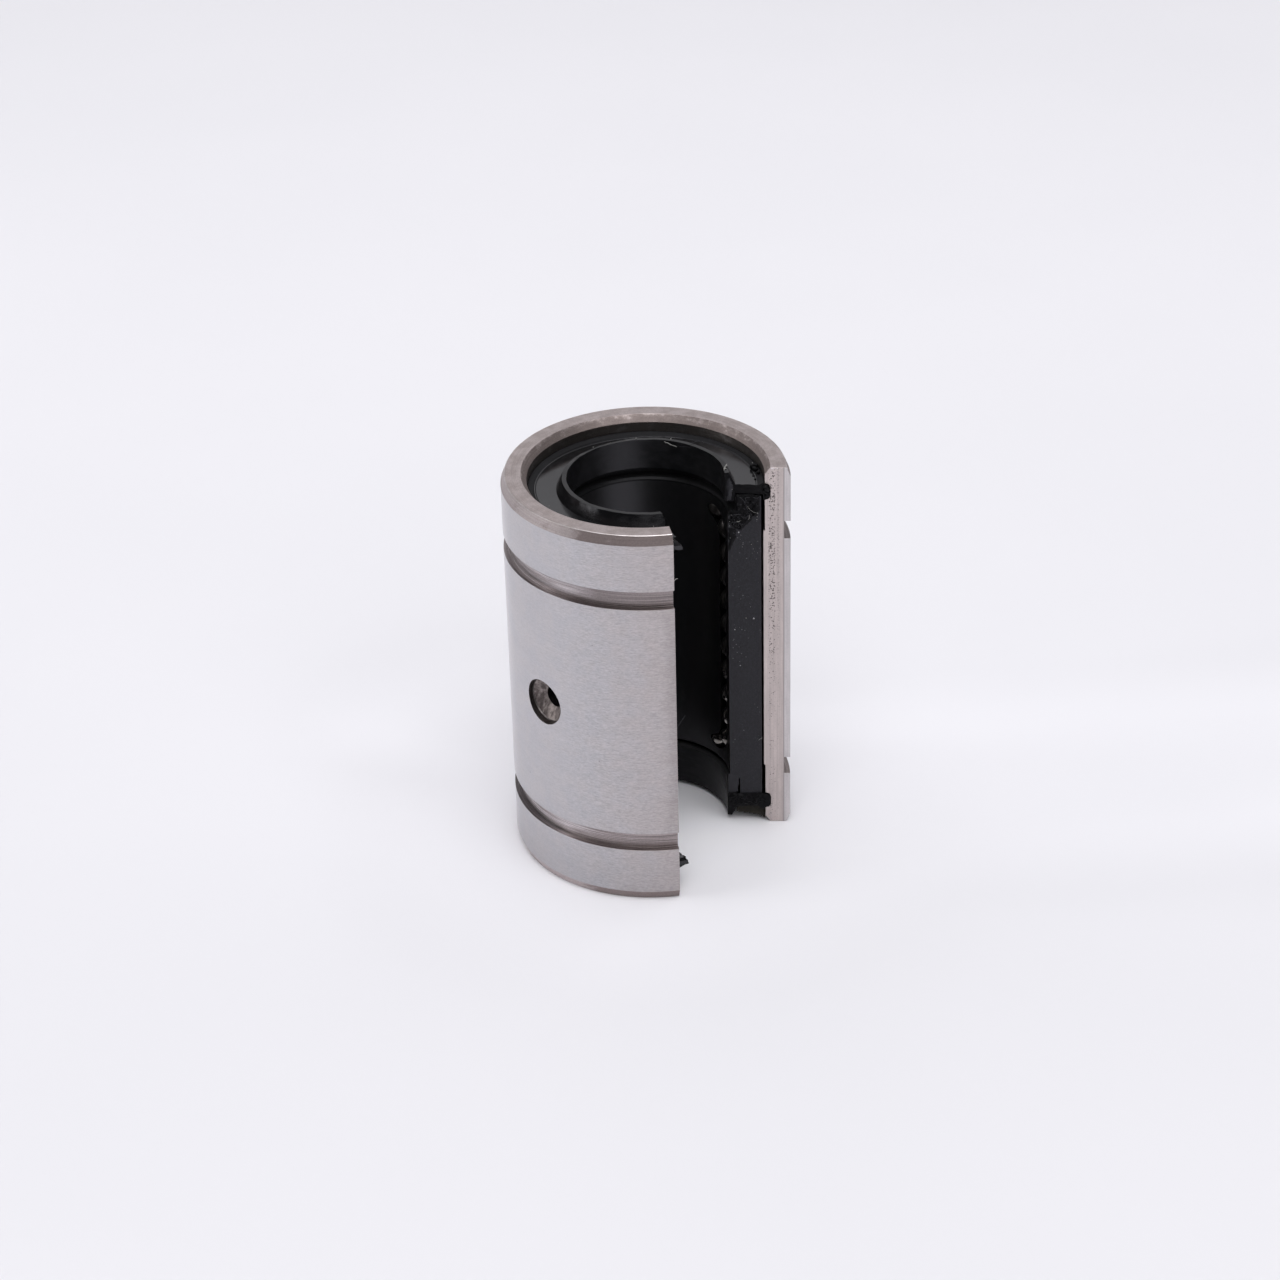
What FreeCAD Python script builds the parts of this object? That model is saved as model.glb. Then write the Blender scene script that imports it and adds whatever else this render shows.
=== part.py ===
"""Open linear ball bushing for a 12 mm shaft that is carried on a rail.

A ground steel sleeve, slit along one side, holds a moulded cage between two snap-in end rings. Three
endless trains of balls run in the cage: a loaded row that looks into the bore and bears on a land of the
sleeve, a turn at each end, and a return row that is lifted clear of the shaft.

The Z axis is the shaft's axis, the origin is at mid-length, and the slit faces -Y.
"""

import FreeCAD
import Part
import Sketcher

import enum
import math
import os

# Driving sizes in millimetres and degrees, with plain counts
DIMENSIONS = {
    # Shaft, balls and the radial stack up to the outside of the sleeve
    "shaft_diameter": 12.0,
    "ball_diameter": 1.984,
    "ball_gap": 0.04,
    "raceway_clearance": 0.05,
    "return_lift": 0.866,
    "sleeve_wall": 2.1,
    # Steel sleeve
    "sleeve_length": 32.0,
    "opening_angle": 78.0,
    "end_chamfer_width": 0.3,
    "end_chamfer_length": 0.75,
    "ring_groove_inset": 4.6,
    "ring_groove_width": 1.5,
    "ring_groove_depth": 0.5,
    "end_bore_step": 0.12,
    "end_bore_length": 5.4,
    "seat_groove_inset": 1.35,
    "seat_groove_width": 1.4,
    "seat_groove_depth": 0.43,
    "mouth_chamfer_width": 0.43,
    "mouth_chamfer_length": 0.55,
    "land_width": 2.4,
    "land_overrun": 0.4,
    # Fixing hole with its grease hole
    "hole_angle": 97.4,
    "hole_diameter": 3.7,
    "hole_depth": 1.2,
    "grease_hole_diameter": 1.7,
    # End rings
    "lip_drop": 0.55,
    "lip_thickness": 0.34,
    "lip_foot": 0.8,
    "web_drop": 1.5,
    "web_thickness": 0.75,
    "upper_collar_depth": 3.0,
    "lower_collar_depth": 3.75,
    "collar_thickness": 0.65,
    "rim_drop": 1.3,
    "rim_edge": 0.12,
    "rim_thickness": 0.6,
    "ring_clearance": 0.06,
    "ring_end_angle": 22.4,
    # Ball cage
    "cage_bore_clearance": 0.2,
    "cage_clearance": 0.15,
    "cage_end_play": 0.2,
    "upper_collar_gap": 0.95,
    "lower_collar_gap": 0.35,
    "cage_end_chamfer": 0.15,
    "cage_end_wall": 0.3,
    "cage_edge_setback": 0.5,
    "channel_clearance": 0.05,
    "balls_per_turn": 3,
}

# Sizes worked out from the driving ones: radii from the axis, heights from mid-length
LAYOUT = {
    "load_radius": "(dims.shaft_diameter + dims.ball_diameter) / 2",
    "raceway_radius": "dims.shaft_diameter / 2 + dims.ball_diameter + dims.raceway_clearance",
    "return_radius": "load_radius + dims.return_lift",
    "relief_radius": "return_radius + dims.ball_diameter / 2 + dims.raceway_clearance",
    "end_bore_radius": "relief_radius + dims.end_bore_step",
    "seat_floor_radius": "end_bore_radius + dims.seat_groove_depth",
    "outer_radius": "relief_radius + dims.sleeve_wall",
    "half_length": "dims.sleeve_length / 2",
    "seat_top": "half_length - dims.seat_groove_inset",
    "seat_bottom": "seat_top - dims.seat_groove_width",
    "ring_bore_radius": "dims.shaft_diameter / 2",
    "rim_radius": "end_bore_radius - dims.ring_clearance",
    "bead_radius": "seat_floor_radius - dims.ring_clearance",
    "bead_top": "seat_top - dims.ring_clearance",
    "bead_bottom": "seat_bottom + dims.ring_clearance",
    "web_top": "half_length - dims.web_drop",
    "web_bottom": "web_top - dims.web_thickness",
    "upper_collar_end": "half_length - dims.upper_collar_depth",
    "lower_collar_end": "half_length - dims.lower_collar_depth",
    "ring_gap_apex": "ring_bore_radius * (sin(dims.opening_angle / 2) / tan(dims.ring_end_angle)"
                     " - cos(dims.opening_angle / 2))",
    "cage_bore_radius": "dims.shaft_diameter / 2 + dims.cage_bore_clearance",
    "cage_radius": "relief_radius - dims.cage_clearance",
    "cage_half_length": "web_bottom - dims.cage_end_play",
    "upper_shoulder": "upper_collar_end - dims.upper_collar_gap",
    "lower_shoulder": "lower_collar_end - dims.lower_collar_gap",
    "cage_end_bore_radius": "ring_bore_radius + dims.lip_foot + dims.cage_end_play",
    "channel_radius": "dims.ball_diameter / 2 + dims.channel_clearance",
    "turn_step": "180 / dims.balls_per_turn",
    "turn_radius": "(dims.ball_diameter + dims.ball_gap) / (2 * sin(turn_step / 2))",
    "ball_pitch": "pi * turn_radius / dims.balls_per_turn",
    "channel_reach": "min(upper_shoulder; lower_shoulder) - dims.cage_end_wall",
    "balls_per_row": "floor(2 * (channel_reach - turn_radius - channel_radius) / ball_pitch)",
    "half_row": "balls_per_row * ball_pitch / 2",
    "land_half_length": "half_row + dims.land_overrun",
    "land_edge_reach": "sqrt(raceway_radius ^ 2 - dims.land_width ^ 2 / 4)",
    # A train of balls lies in one plane, which leans by plane_tilt from the loaded row's radius.
    "return_along_load": "(load_radius ^ 2 + return_radius ^ 2 - 4 * turn_radius ^ 2) / (2 * load_radius)",
    "plane_tilt": "asin((load_radius - return_along_load) / (2 * turn_radius))",
    "plane_reach": "load_radius * cos(plane_tilt)",
    "load_offset": "-load_radius * sin(plane_tilt)",
    "train_offset": "load_offset + turn_radius",
}

# Direction of the slit, and the three loaded rows spread evenly from it
SLIT_DIRECTION = -90
ROW_COUNT = 3
ROW_SPACING = 360 / ROW_COUNT
RIGHT_ROW = SLIT_DIRECTION + ROW_SPACING / 2

# Each train of balls: the direction of its loaded row, and the side on which its return row lies
TRAINS = {
    "right": (RIGHT_ROW, 1),
    "rear": (RIGHT_ROW + ROW_SPACING, 1),
    "left": (RIGHT_ROW - ROW_SPACING, -1),
}

# At rest the balls lie half a pitch from the ends of their row or turn.
HALF_PITCH = 0.5


class Place(enum.IntEnum):
    """A point of a sketched line or arc."""

    START = 1
    END = 2
    CENTRE = 3


class Axis(enum.IntEnum):
    """One of a sketch's own two axes."""

    UPRIGHT = -2
    LEVEL = -1


# The origin of a sketch is the start of its level axis.
SKETCH_ORIGIN = (Axis.LEVEL, Place.START)


def fill_sheet(document, name, rows, as_formula):
    """Write one alias per row into a new sheet."""
    sheet = document.addObject("Spreadsheet::Sheet", name)
    for number, (alias, content) in enumerate(rows.items(), start=1):
        text = f"={content}" if as_formula else str(content)
        sheet.set(f"A{number}", alias)
        sheet.set(f"B{number}", text)
        sheet.setAlias(f"B{number}", alias)
    document.recompute()
    return sheet


def value_of(document, expression):
    """Evaluate an expression of the sheets as a plain number."""
    result = document.getObject("layout").evalExpression(expression)
    return float(getattr(result, "Value", result))


def origin_plane(body, role):
    """Find one of the body's own origin planes or axes."""
    for feature in body.Origin.OriginFeatures:
        if feature.Role == role:
            return feature
    raise LookupError(role)


def new_sketch(body, role, name):
    """Attach an empty sketch to an origin plane of its body."""
    sketch = body.newObject("Sketcher::SketchObject", name)
    sketch.AttachmentSupport = [(origin_plane(body, role), "")]
    sketch.MapMode = "FlatFace"
    return sketch


def turn_to(sketch, direction, reach):
    """Stand an XZ sketch upright at a reach from the axis, facing outwards in a direction."""
    sketch.AttachmentOffset = FreeCAD.Placement(
        FreeCAD.Vector(),
        FreeCAD.Rotation(FreeCAD.Vector(0, 1, 0), 90),
    )
    sketch.setExpression("AttachmentOffset.Rotation.Angle", f"{direction} + 90 deg")
    sketch.setExpression("AttachmentOffset.Base.x", f"({reach}) * cos({direction})")
    sketch.setExpression("AttachmentOffset.Base.z", f"-({reach}) * sin({direction})")


def pin_point(sketch, geometry, place, across, along):
    """Tie a point of the sketch to two expressions, one for each of its directions."""
    targets = (("DistanceX", across, Axis.UPRIGHT), ("DistanceY", along, Axis.LEVEL))
    for kind, expression, axis in targets:
        if expression == "0":
            sketch.addConstraint(Sketcher.Constraint("PointOnObject", geometry, place, axis))
            continue
        size = value_of(sketch.Document, expression)
        constraint = Sketcher.Constraint(kind, *SKETCH_ORIGIN, geometry, place, size)
        index = sketch.addConstraint(constraint)
        sketch.setExpression(f"Constraints[{index}]", expression)


def add_outline(sketch, corners):
    """Draw a closed outline of straight edges through corners given as expressions."""
    first = sketch.GeometryCount
    document = sketch.Document
    points = [FreeCAD.Vector(value_of(document, across), value_of(document, along))
              for across, along in corners]
    for index, start in enumerate(points):
        end = points[(index + 1) % len(points)]
        sketch.addGeometry(Part.LineSegment(start, end))
    for index, (across, along) in enumerate(corners):
        following = first + (index + 1) % len(corners)
        join = Sketcher.Constraint("Coincident", first + index, Place.END, following, Place.START)
        sketch.addConstraint(join)
        pin_point(sketch, first + index, Place.START, across, along)


def add_circle(sketch, across, along, radius):
    """Draw a circle whose centre and radius are expressions."""
    document = sketch.Document
    centre = FreeCAD.Vector(value_of(document, across), value_of(document, along))
    size = value_of(document, radius)
    circle = sketch.addGeometry(Part.Circle(centre, FreeCAD.Vector(0, 0, 1), size))
    index = sketch.addConstraint(Sketcher.Constraint("Radius", circle, size))
    sketch.setExpression(f"Constraints[{index}]", radius)
    pin_point(sketch, circle, Place.CENTRE, across, along)


def add_racetrack(sketch, centre, half_row, radius):
    """Draw two upright straights joined by half circles, with every size an expression."""
    document = sketch.Document
    middle = value_of(document, centre)
    rise = value_of(document, half_row)
    size = value_of(document, radius)
    facing = FreeCAD.Vector(0, 0, 1)
    near, far = middle - size, middle + size
    first = sketch.GeometryCount
    sketch.addGeometry(Part.LineSegment(FreeCAD.Vector(near, -rise), FreeCAD.Vector(near, rise)))
    upper = Part.Circle(FreeCAD.Vector(middle, rise), facing, size)
    sketch.addGeometry(Part.ArcOfCircle(upper, 0, math.pi))
    sketch.addGeometry(Part.LineSegment(FreeCAD.Vector(far, rise), FreeCAD.Vector(far, -rise)))
    lower = Part.Circle(FreeCAD.Vector(middle, -rise), facing, size)
    sketch.addGeometry(Part.ArcOfCircle(lower, math.pi, 2 * math.pi))
    load, top, back, bottom = range(first, first + 4)
    joins = (
        (load, Place.END, top, Place.END),
        (top, Place.START, back, Place.START),
        (back, Place.END, bottom, Place.END),
        (bottom, Place.START, load, Place.START),
    )
    for join in joins:
        sketch.addConstraint(Sketcher.Constraint("Coincident", *join))
    pin_point(sketch, load, Place.START, f"{centre} - ({radius})", f"-({half_row})")
    pin_point(sketch, load, Place.END, f"{centre} - ({radius})", half_row)
    pin_point(sketch, back, Place.START, f"{centre} + {radius}", half_row)
    pin_point(sketch, back, Place.END, f"{centre} + {radius}", f"-({half_row})")
    for arc, height, expression in ((top, rise, half_row), (bottom, -rise, f"-({half_row})")):
        level = Sketcher.Constraint("DistanceY", *SKETCH_ORIGIN, arc, Place.CENTRE, height)
        index = sketch.addConstraint(level)
        sketch.setExpression(f"Constraints[{index}]", expression)


def spin(body, kind, sketch, name):
    """Turn a section about the Z axis, to add or to cut."""
    feature = body.newObject(kind, name)
    feature.Profile = sketch
    feature.ReferenceAxis = (origin_plane(body, "Z_Axis"), [""])
    feature.Angle = 360
    return feature


def pocket(body, sketch, name, length, outwards=False, both_ways=False):
    """Cut a sketch straight into its body by a length given as an expression."""
    feature = body.newObject("PartDesign::Pocket", name)
    feature.Profile = sketch
    feature.Midplane = both_ways
    feature.Reversed = outwards
    feature.setExpression("Length", length)
    return feature


def polar_pattern(body, features, name, count, angle):
    """Repeat features about the Z axis."""
    pattern = body.newObject("PartDesign::PolarPattern", name)
    pattern.Originals = features
    pattern.Axis = (origin_plane(body, "Z_Axis"), [""])
    pattern.Angle = angle
    pattern.Occurrences = count
    body.Tip = pattern
    return pattern


def mirror(body, features, name, role):
    """Repeat features on the other side of an origin plane."""
    copy = body.newObject("PartDesign::Mirrored", name)
    copy.Originals = features
    copy.MirrorPlane = (origin_plane(body, role), [""])
    body.Tip = copy
    return copy


def cut_slit(body, half_angle, apex):
    """Cut the lengthwise slit as a wedge that widens from an apex towards -Y."""
    sketch = new_sketch(body, "XY_Plane", "slit_sketch")
    far = "2 * layout.outer_radius"
    corners = [
        ("0", apex),
        (f"-{far} * sin({half_angle})", f"{apex} - {far} * cos({half_angle})"),
        (f"{far} * sin({half_angle})", f"{apex} - {far} * cos({half_angle})"),
    ]
    add_outline(sketch, corners)
    return pocket(body, sketch, "slit", "2 * dims.sleeve_length", both_ways=True)


def make_sleeve(document):
    """Build the ground steel sleeve with its grooves, raceway lands, slit and fixing hole."""
    body = document.addObject("PartDesign::Body", "outer_sleeve")
    wall = new_sketch(body, "XZ_Plane", "wall_section")
    add_outline(wall, [
        ("layout.relief_radius", "-layout.half_length"),
        ("layout.outer_radius", "-layout.half_length"),
        ("layout.outer_radius", "layout.half_length"),
        ("layout.relief_radius", "layout.half_length"),
    ])
    spin(body, "PartDesign::Revolution", wall, "wall")

    # Outside of the upper end: a steep chamfer and the snap ring's groove
    outside = new_sketch(body, "XZ_Plane", "outer_end_section")
    beyond = "layout.outer_radius + dims.end_chamfer_width"
    add_outline(outside, [
        ("layout.outer_radius - dims.end_chamfer_width", "layout.half_length"),
        ("layout.outer_radius", "layout.half_length - dims.end_chamfer_length"),
        (beyond, "layout.half_length - dims.end_chamfer_length"),
        (beyond, "layout.half_length + dims.end_chamfer_length"),
        ("layout.outer_radius - dims.end_chamfer_width", "layout.half_length + dims.end_chamfer_length"),
    ])
    groove_top = "layout.half_length - dims.ring_groove_inset"
    groove_floor = "layout.outer_radius - dims.ring_groove_depth"
    add_outline(outside, [
        (groove_floor, f"{groove_top} - dims.ring_groove_width"),
        (beyond, f"{groove_top} - dims.ring_groove_width"),
        (beyond, groove_top),
        (groove_floor, groove_top),
    ])
    outer_end = spin(body, "PartDesign::Groove", outside, "outer_end")

    # Inside of the upper end: the end bore, the groove that seats the end ring, and the mouth's chamfer
    inside = new_sketch(body, "XZ_Plane", "inner_end_section")
    mouth = "layout.end_bore_radius + dims.mouth_chamfer_width"
    inner = "layout.relief_radius - dims.end_bore_step"
    add_outline(inside, [
        (inner, "layout.half_length - dims.end_bore_length"),
        ("layout.end_bore_radius", "layout.half_length - dims.end_bore_length"),
        ("layout.end_bore_radius", "layout.seat_bottom"),
        ("layout.seat_floor_radius", "layout.seat_bottom"),
        ("layout.seat_floor_radius", "layout.seat_top"),
        ("layout.end_bore_radius", "layout.seat_top"),
        ("layout.end_bore_radius", "layout.half_length - dims.mouth_chamfer_length"),
        (mouth, "layout.half_length"),
        (mouth, "layout.half_length + dims.mouth_chamfer_length"),
        (inner, "layout.half_length + dims.mouth_chamfer_length"),
    ])
    inner_end = spin(body, "PartDesign::Groove", inside, "inner_end")
    mirror(body, [outer_end, inner_end], "lower_end", "XY_Plane")

    # Three lands stand in from the relieved bore and are bored together to the raceway's radius.
    land_sketch = new_sketch(body, "XY_Plane", "land_sketch")
    land_root = "layout.relief_radius + dims.sleeve_wall / 2"
    land_tip = "layout.raceway_radius - dims.ball_diameter / 2"
    add_outline(land_sketch, [
        ("-dims.land_width / 2", land_tip),
        ("dims.land_width / 2", land_tip),
        ("dims.land_width / 2", land_root),
        ("-dims.land_width / 2", land_root),
    ])
    land = body.newObject("PartDesign::Pad", "land")
    land.Profile = land_sketch
    land.Midplane = True
    land.setExpression("Length", "2 * layout.land_half_length")
    polar_pattern(body, [land], "lands", ROW_COUNT, 360)
    raceway = new_sketch(body, "XZ_Plane", "raceway_section")
    add_outline(raceway, [
        ("0", "-layout.half_length"),
        ("layout.raceway_radius", "-layout.half_length"),
        ("layout.raceway_radius", "layout.half_length"),
        ("0", "layout.half_length"),
    ])
    spin(body, "PartDesign::Groove", raceway, "raceway_bore")
    cut_slit(body, "dims.opening_angle / 2", "0")

    # The fixing hole has a flat floor, and a grease hole goes on through the wall.
    direction = f"({SLIT_DIRECTION} deg - dims.hole_angle * 1 deg)"
    floor = "layout.outer_radius - dims.hole_depth"
    fixing = new_sketch(body, "XZ_Plane", "fixing_hole_sketch")
    turn_to(fixing, direction, floor)
    add_circle(fixing, "0", "0", "dims.hole_diameter / 2")
    pocket(body, fixing, "fixing_hole", "dims.hole_depth + dims.sleeve_wall", outwards=True)
    grease = new_sketch(body, "XZ_Plane", "grease_hole_sketch")
    turn_to(grease, direction, floor)
    add_circle(grease, "0", "0", "dims.grease_hole_diameter / 2")
    body.Tip = pocket(body, grease, "grease_hole", "dims.sleeve_wall")
    return body


def cut_channel(body, train, row, side):
    """Sweep the balls' own section round the path of one train, then open the channel outwards."""
    direction = f"({row} deg + ({side}) * layout.plane_tilt)"
    offset = f"({side}) * layout.train_offset"
    path = new_sketch(body, "XZ_Plane", f"{train}_path")
    turn_to(path, direction, "layout.plane_reach")
    add_racetrack(path, offset, "layout.half_row", "layout.turn_radius")
    section = new_sketch(body, "XY_Plane", f"{train}_channel_section")
    across = f"layout.load_radius * cos({row} deg)"
    along = f"layout.load_radius * sin({row} deg)"
    add_circle(section, across, along, "layout.channel_radius")
    channel = body.newObject("PartDesign::SubtractivePipe", f"{train}_channel")
    channel.Profile = section
    channel.Spine = (path, [f"Edge{number}" for number in range(1, 5)])
    mouth = new_sketch(body, "XZ_Plane", f"{train}_mouth_sketch")
    turn_to(mouth, direction, "layout.plane_reach")
    for edge in ("+", "-"):
        radius = f"(layout.turn_radius {edge} layout.channel_radius)"
        add_racetrack(mouth, offset, "layout.half_row", radius)
    body.Tip = pocket(body, mouth, f"{train}_mouth", "layout.outer_radius", outwards=True)


def make_cage(document):
    """Build the moulded cage with its three ball channels."""
    body = document.addObject("PartDesign::Body", "ball_cage")
    tube = new_sketch(body, "XZ_Plane", "tube_section")
    bevelled_radius = "layout.cage_bore_radius + dims.cage_end_chamfer"
    # The ends are bored out round the end rings' collars and reach to the webs.
    add_outline(tube, [
        ("layout.cage_bore_radius", "dims.cage_end_chamfer - layout.lower_shoulder"),
        (bevelled_radius, "-layout.lower_shoulder"),
        ("layout.cage_end_bore_radius", "-layout.lower_shoulder"),
        ("layout.cage_end_bore_radius", "-layout.cage_half_length"),
        ("layout.cage_radius", "-layout.cage_half_length"),
        ("layout.cage_radius", "layout.cage_half_length"),
        ("layout.cage_end_bore_radius", "layout.cage_half_length"),
        ("layout.cage_end_bore_radius", "layout.upper_shoulder"),
        (bevelled_radius, "layout.upper_shoulder"),
        ("layout.cage_bore_radius", "layout.upper_shoulder - dims.cage_end_chamfer"),
    ])
    spin(body, "PartDesign::Revolution", tube, "tube")
    cut_slit(body, "(dims.opening_angle / 2 + dims.cage_edge_setback)", "0")

    # Recesses in the outside let the sleeve's lands reach the loaded rows.
    recess_sketch = new_sketch(body, "XY_Plane", "recess_sketch")
    recess_half = "(dims.land_width / 2 + dims.cage_clearance)"
    recess_floor = "layout.land_edge_reach - dims.cage_clearance"
    add_outline(recess_sketch, [
        (f"-{recess_half}", recess_floor),
        (recess_half, recess_floor),
        (recess_half, "layout.outer_radius"),
        (f"-{recess_half}", "layout.outer_radius"),
    ])
    recess_length = "2 * (layout.land_half_length + dims.cage_clearance)"
    recess = pocket(body, recess_sketch, "recess", recess_length, both_ways=True)
    polar_pattern(body, [recess], "recesses", ROW_COUNT, 360)

    for train, (row, side) in TRAINS.items():
        cut_channel(body, train, row, side)
    return body


def make_end_ring(document, name, collar_end, upside_down):
    """Build one snap-in end ring: bead, low sloping rim, flat web and the collar with its lip."""
    body = document.addObject("PartDesign::Body", name)
    section = new_sketch(body, "XZ_Plane", "ring_section")
    lip_top = "layout.half_length - dims.lip_drop"
    rim_top = "layout.half_length - dims.rim_drop"
    rim_inner = "layout.rim_radius - dims.rim_thickness"
    bead_inner = "layout.cage_radius + dims.cage_clearance"
    bore = "layout.ring_bore_radius"
    add_outline(section, [
        (bore, collar_end),
        (f"{bore} + dims.collar_thickness", collar_end),
        (f"{bore} + dims.lip_foot", "layout.web_bottom"),
        (bead_inner, "layout.web_bottom"),
        (bead_inner, "layout.bead_bottom"),
        ("layout.bead_radius", "layout.bead_bottom"),
        ("layout.bead_radius", "layout.bead_top"),
        ("layout.rim_radius", "layout.bead_top"),
        ("layout.rim_radius", rim_top),
        ("layout.rim_radius - dims.rim_edge", rim_top),
        (rim_inner, "layout.web_top"),
        (f"{bore} + dims.lip_foot", "layout.web_top"),
        (f"{bore} + dims.lip_thickness", lip_top),
        (bore, lip_top),
    ])
    spin(body, "PartDesign::Revolution", section, "ring")
    body.Tip = cut_slit(body, "dims.ring_end_angle", "layout.ring_gap_apex")
    if upside_down:
        body.Placement.Rotation = FreeCAD.Rotation(FreeCAD.Vector(0, 1, 0), 180)
    return body


def make_ball(document, name, train, offset, height):
    """Place one ball in the plane of its train, at an offset along the plane and a height."""
    row, side = TRAINS[train]
    ball = document.addObject("Part::Sphere", name)
    facing = f"({row} deg + ({side}) * layout.plane_tilt)"
    ball.setExpression("Radius", "dims.ball_diameter / 2")
    across = f"layout.plane_reach * cos({facing}) - ({side}) * ({offset}) * sin({facing})"
    along = f"layout.plane_reach * sin({facing}) + ({side}) * ({offset}) * cos({facing})"
    ball.setExpression("Placement.Base.x", across)
    ball.setExpression("Placement.Base.y", along)
    ball.setExpression("Placement.Base.z", height)
    return ball


def make_row(document, train, name, offset):
    """Make the balls of one straight row, from the lowest up."""
    count = int(value_of(document, "layout.balls_per_row"))
    balls = []
    for index in range(count):
        height = f"({index} + {HALF_PITCH}) * layout.ball_pitch - layout.half_row"
        balls.append(make_ball(document, f"{train}_{name}_ball_{index + 1}", train, offset, height))
    return balls


def make_turn(document, train, name, end):
    """Make the balls of one turn as a group; end is 1 for the upper turn and -1 for the lower."""
    count = int(value_of(document, "dims.balls_per_turn"))
    balls = []
    for index in range(count):
        swing = f"(({index} + {HALF_PITCH}) * layout.turn_step)"
        offset = f"layout.train_offset - layout.turn_radius * cos({swing})"
        height = f"({end}) * (layout.half_row + layout.turn_radius * sin({swing}))"
        balls.append(make_ball(document, f"{train}_{name}_{index + 1}", train, offset, height))
    group = document.addObject("Part::Compound", f"{train}_{name}_balls")
    group.Links = balls
    return group


def make_train(document, train):
    """Make one endless train of balls: loaded row, return row and the two turns."""
    nodes = make_row(document, train, "load", "layout.load_offset")
    nodes += make_row(document, train, "return", "(layout.load_offset + 2 * layout.turn_radius)")
    nodes.append(make_turn(document, train, "upper_turn", 1))
    nodes.append(make_turn(document, train, "lower_turn", -1))
    return nodes


def check_and_export(document, nodes):
    """Stop on any failed object, then write one STEP file per node."""
    for item in document.Objects:
        if "Invalid" in item.State or "Error" in item.State:
            raise RuntimeError(f"{item.Name} did not build: {item.State}")
    for node in nodes:
        if node.Shape.isNull() or not node.Shape.isValid():
            raise RuntimeError(f"{node.Label} has no sound shape")
        if node.TypeId == "PartDesign::Body" and len(node.Shape.Solids) != 1:
            raise RuntimeError(f"{node.Label} is not one solid")
    os.makedirs("parts", exist_ok=True)
    for node in nodes:
        node.Shape.exportStep(os.path.join("parts", f"{node.Label}.step"))


def main():
    """Build the bushing and write its pieces."""
    document = FreeCAD.newDocument("open_ball_bushing")
    fill_sheet(document, "dims", DIMENSIONS, as_formula=False)
    fill_sheet(document, "layout", LAYOUT, as_formula=True)
    nodes = [
        make_sleeve(document),
        make_cage(document),
        make_end_ring(document, "upper_end_ring", "layout.upper_collar_end", upside_down=False),
        make_end_ring(document, "lower_end_ring", "layout.lower_collar_end", upside_down=True),
    ]
    for train in TRAINS:
        nodes += make_train(document, train)
    document.recompute()
    check_and_export(document, nodes)


main()
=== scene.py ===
"""Looks of an open linear ball bushing: ground sleeve, end rings, moulded cage and its ball trains.

Sizes are in millimetres in the part's own frame: Z is the shaft's axis, the origin is at mid-length and
the slit faces -Y. Meshes are written in metres.
"""

import logging
import math
import random
from collections.abc import Callable, Iterable, Sequence
from dataclasses import dataclass
from enum import Enum
from functools import partial, reduce

import bmesh
import bpy
from mathutils import Matrix, Vector, noise


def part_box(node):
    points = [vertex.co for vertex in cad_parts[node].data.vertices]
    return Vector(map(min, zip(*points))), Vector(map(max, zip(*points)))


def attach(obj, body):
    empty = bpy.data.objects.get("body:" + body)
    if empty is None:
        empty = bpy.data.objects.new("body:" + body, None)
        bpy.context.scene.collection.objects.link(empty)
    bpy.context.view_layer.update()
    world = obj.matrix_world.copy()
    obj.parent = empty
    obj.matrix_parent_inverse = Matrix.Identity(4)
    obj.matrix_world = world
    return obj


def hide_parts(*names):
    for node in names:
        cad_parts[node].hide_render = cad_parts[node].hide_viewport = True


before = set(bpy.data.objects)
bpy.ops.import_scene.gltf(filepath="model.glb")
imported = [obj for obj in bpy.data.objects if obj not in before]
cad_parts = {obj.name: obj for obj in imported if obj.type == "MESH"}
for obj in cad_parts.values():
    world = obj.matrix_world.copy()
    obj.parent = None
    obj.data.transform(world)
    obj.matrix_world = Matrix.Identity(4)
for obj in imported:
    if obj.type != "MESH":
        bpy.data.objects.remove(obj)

LOG = logging.getLogger("bushing")
MM = 0.001
SLIT_DIRECTION = -90.0
HOUSING_BODY = "bushing_body"
SEED_STEPS = (7.3, 3.1, 5.7)
ROUND_SHARE = 0.3
EDGE_SEGMENTS = 2
EDGE_ANGLE = 14.0

Colour = tuple[float, float, float, float]
Triple = tuple[float, float, float]
Course = tuple[Triple, Triple, Triple, float]
Outline = Sequence[tuple[float, float]]
Gap = Callable[[float], float]
Socket = bpy.types.NodeSocket
Material = bpy.types.Material
Piece = bpy.types.Object
Mesh = bmesh.types.BMesh
Vert = bmesh.types.BMVert


class Zone(Enum):
    """Surfaces of the sleeve that were finished in different ways, in the order of its materials."""

    OUTSIDE = 0
    END_FACE = 1
    OUTER_CHAMFER = 2
    RING_GROOVE = 3
    MOUTH_CHAMFER = 4
    BORE = 5
    CUT_FACE = 6
    # FIXING_HOLE: walls of the fixing hole and of the grease hole, painted dark as painted shade in the
    # recess
    FIXING_HOLE = 7
    # EDGE: the end face's outer edge band, burnished and painted brighter than the end face as a glint
    EDGE = 8
    HOLE_FLOOR = 9


Corner = tuple[float, float, Zone]


class RingZone(Enum):
    """Surfaces of an end ring that look different, in the order of its materials."""

    WEB = 0
    RIM = 1
    LIP = 2
    BORE = 3
    CUT = 4
    FOOT = 5


def polar(radius: float, angle: float, height: float) -> Vector:
    """Give the point at a radius, an angle in degrees and a height, in millimetres."""
    turn = math.radians(angle)
    return Vector((radius * math.cos(turn), radius * math.sin(turn), height))


def spread(start: float, end: float, pieces: int) -> list[float]:
    """Give evenly spaced values from start up to, but without, end."""
    return [start + (end - start) * index / pieces for index in range(pieces)]


def ragged(point: Vector, pitch: float, seed: int) -> float:
    """Give a smooth random value between about -1 and 1 that belongs to a place.

    Args:
        point: Place in millimetres.
        pitch: Size of the bumps in millimetres.
        seed: Number that picks one of many patterns.

    Returns:
        The value at that place.
    """
    return noise.noise(point / pitch + Vector([seed * step for step in SEED_STEPS]))


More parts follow.
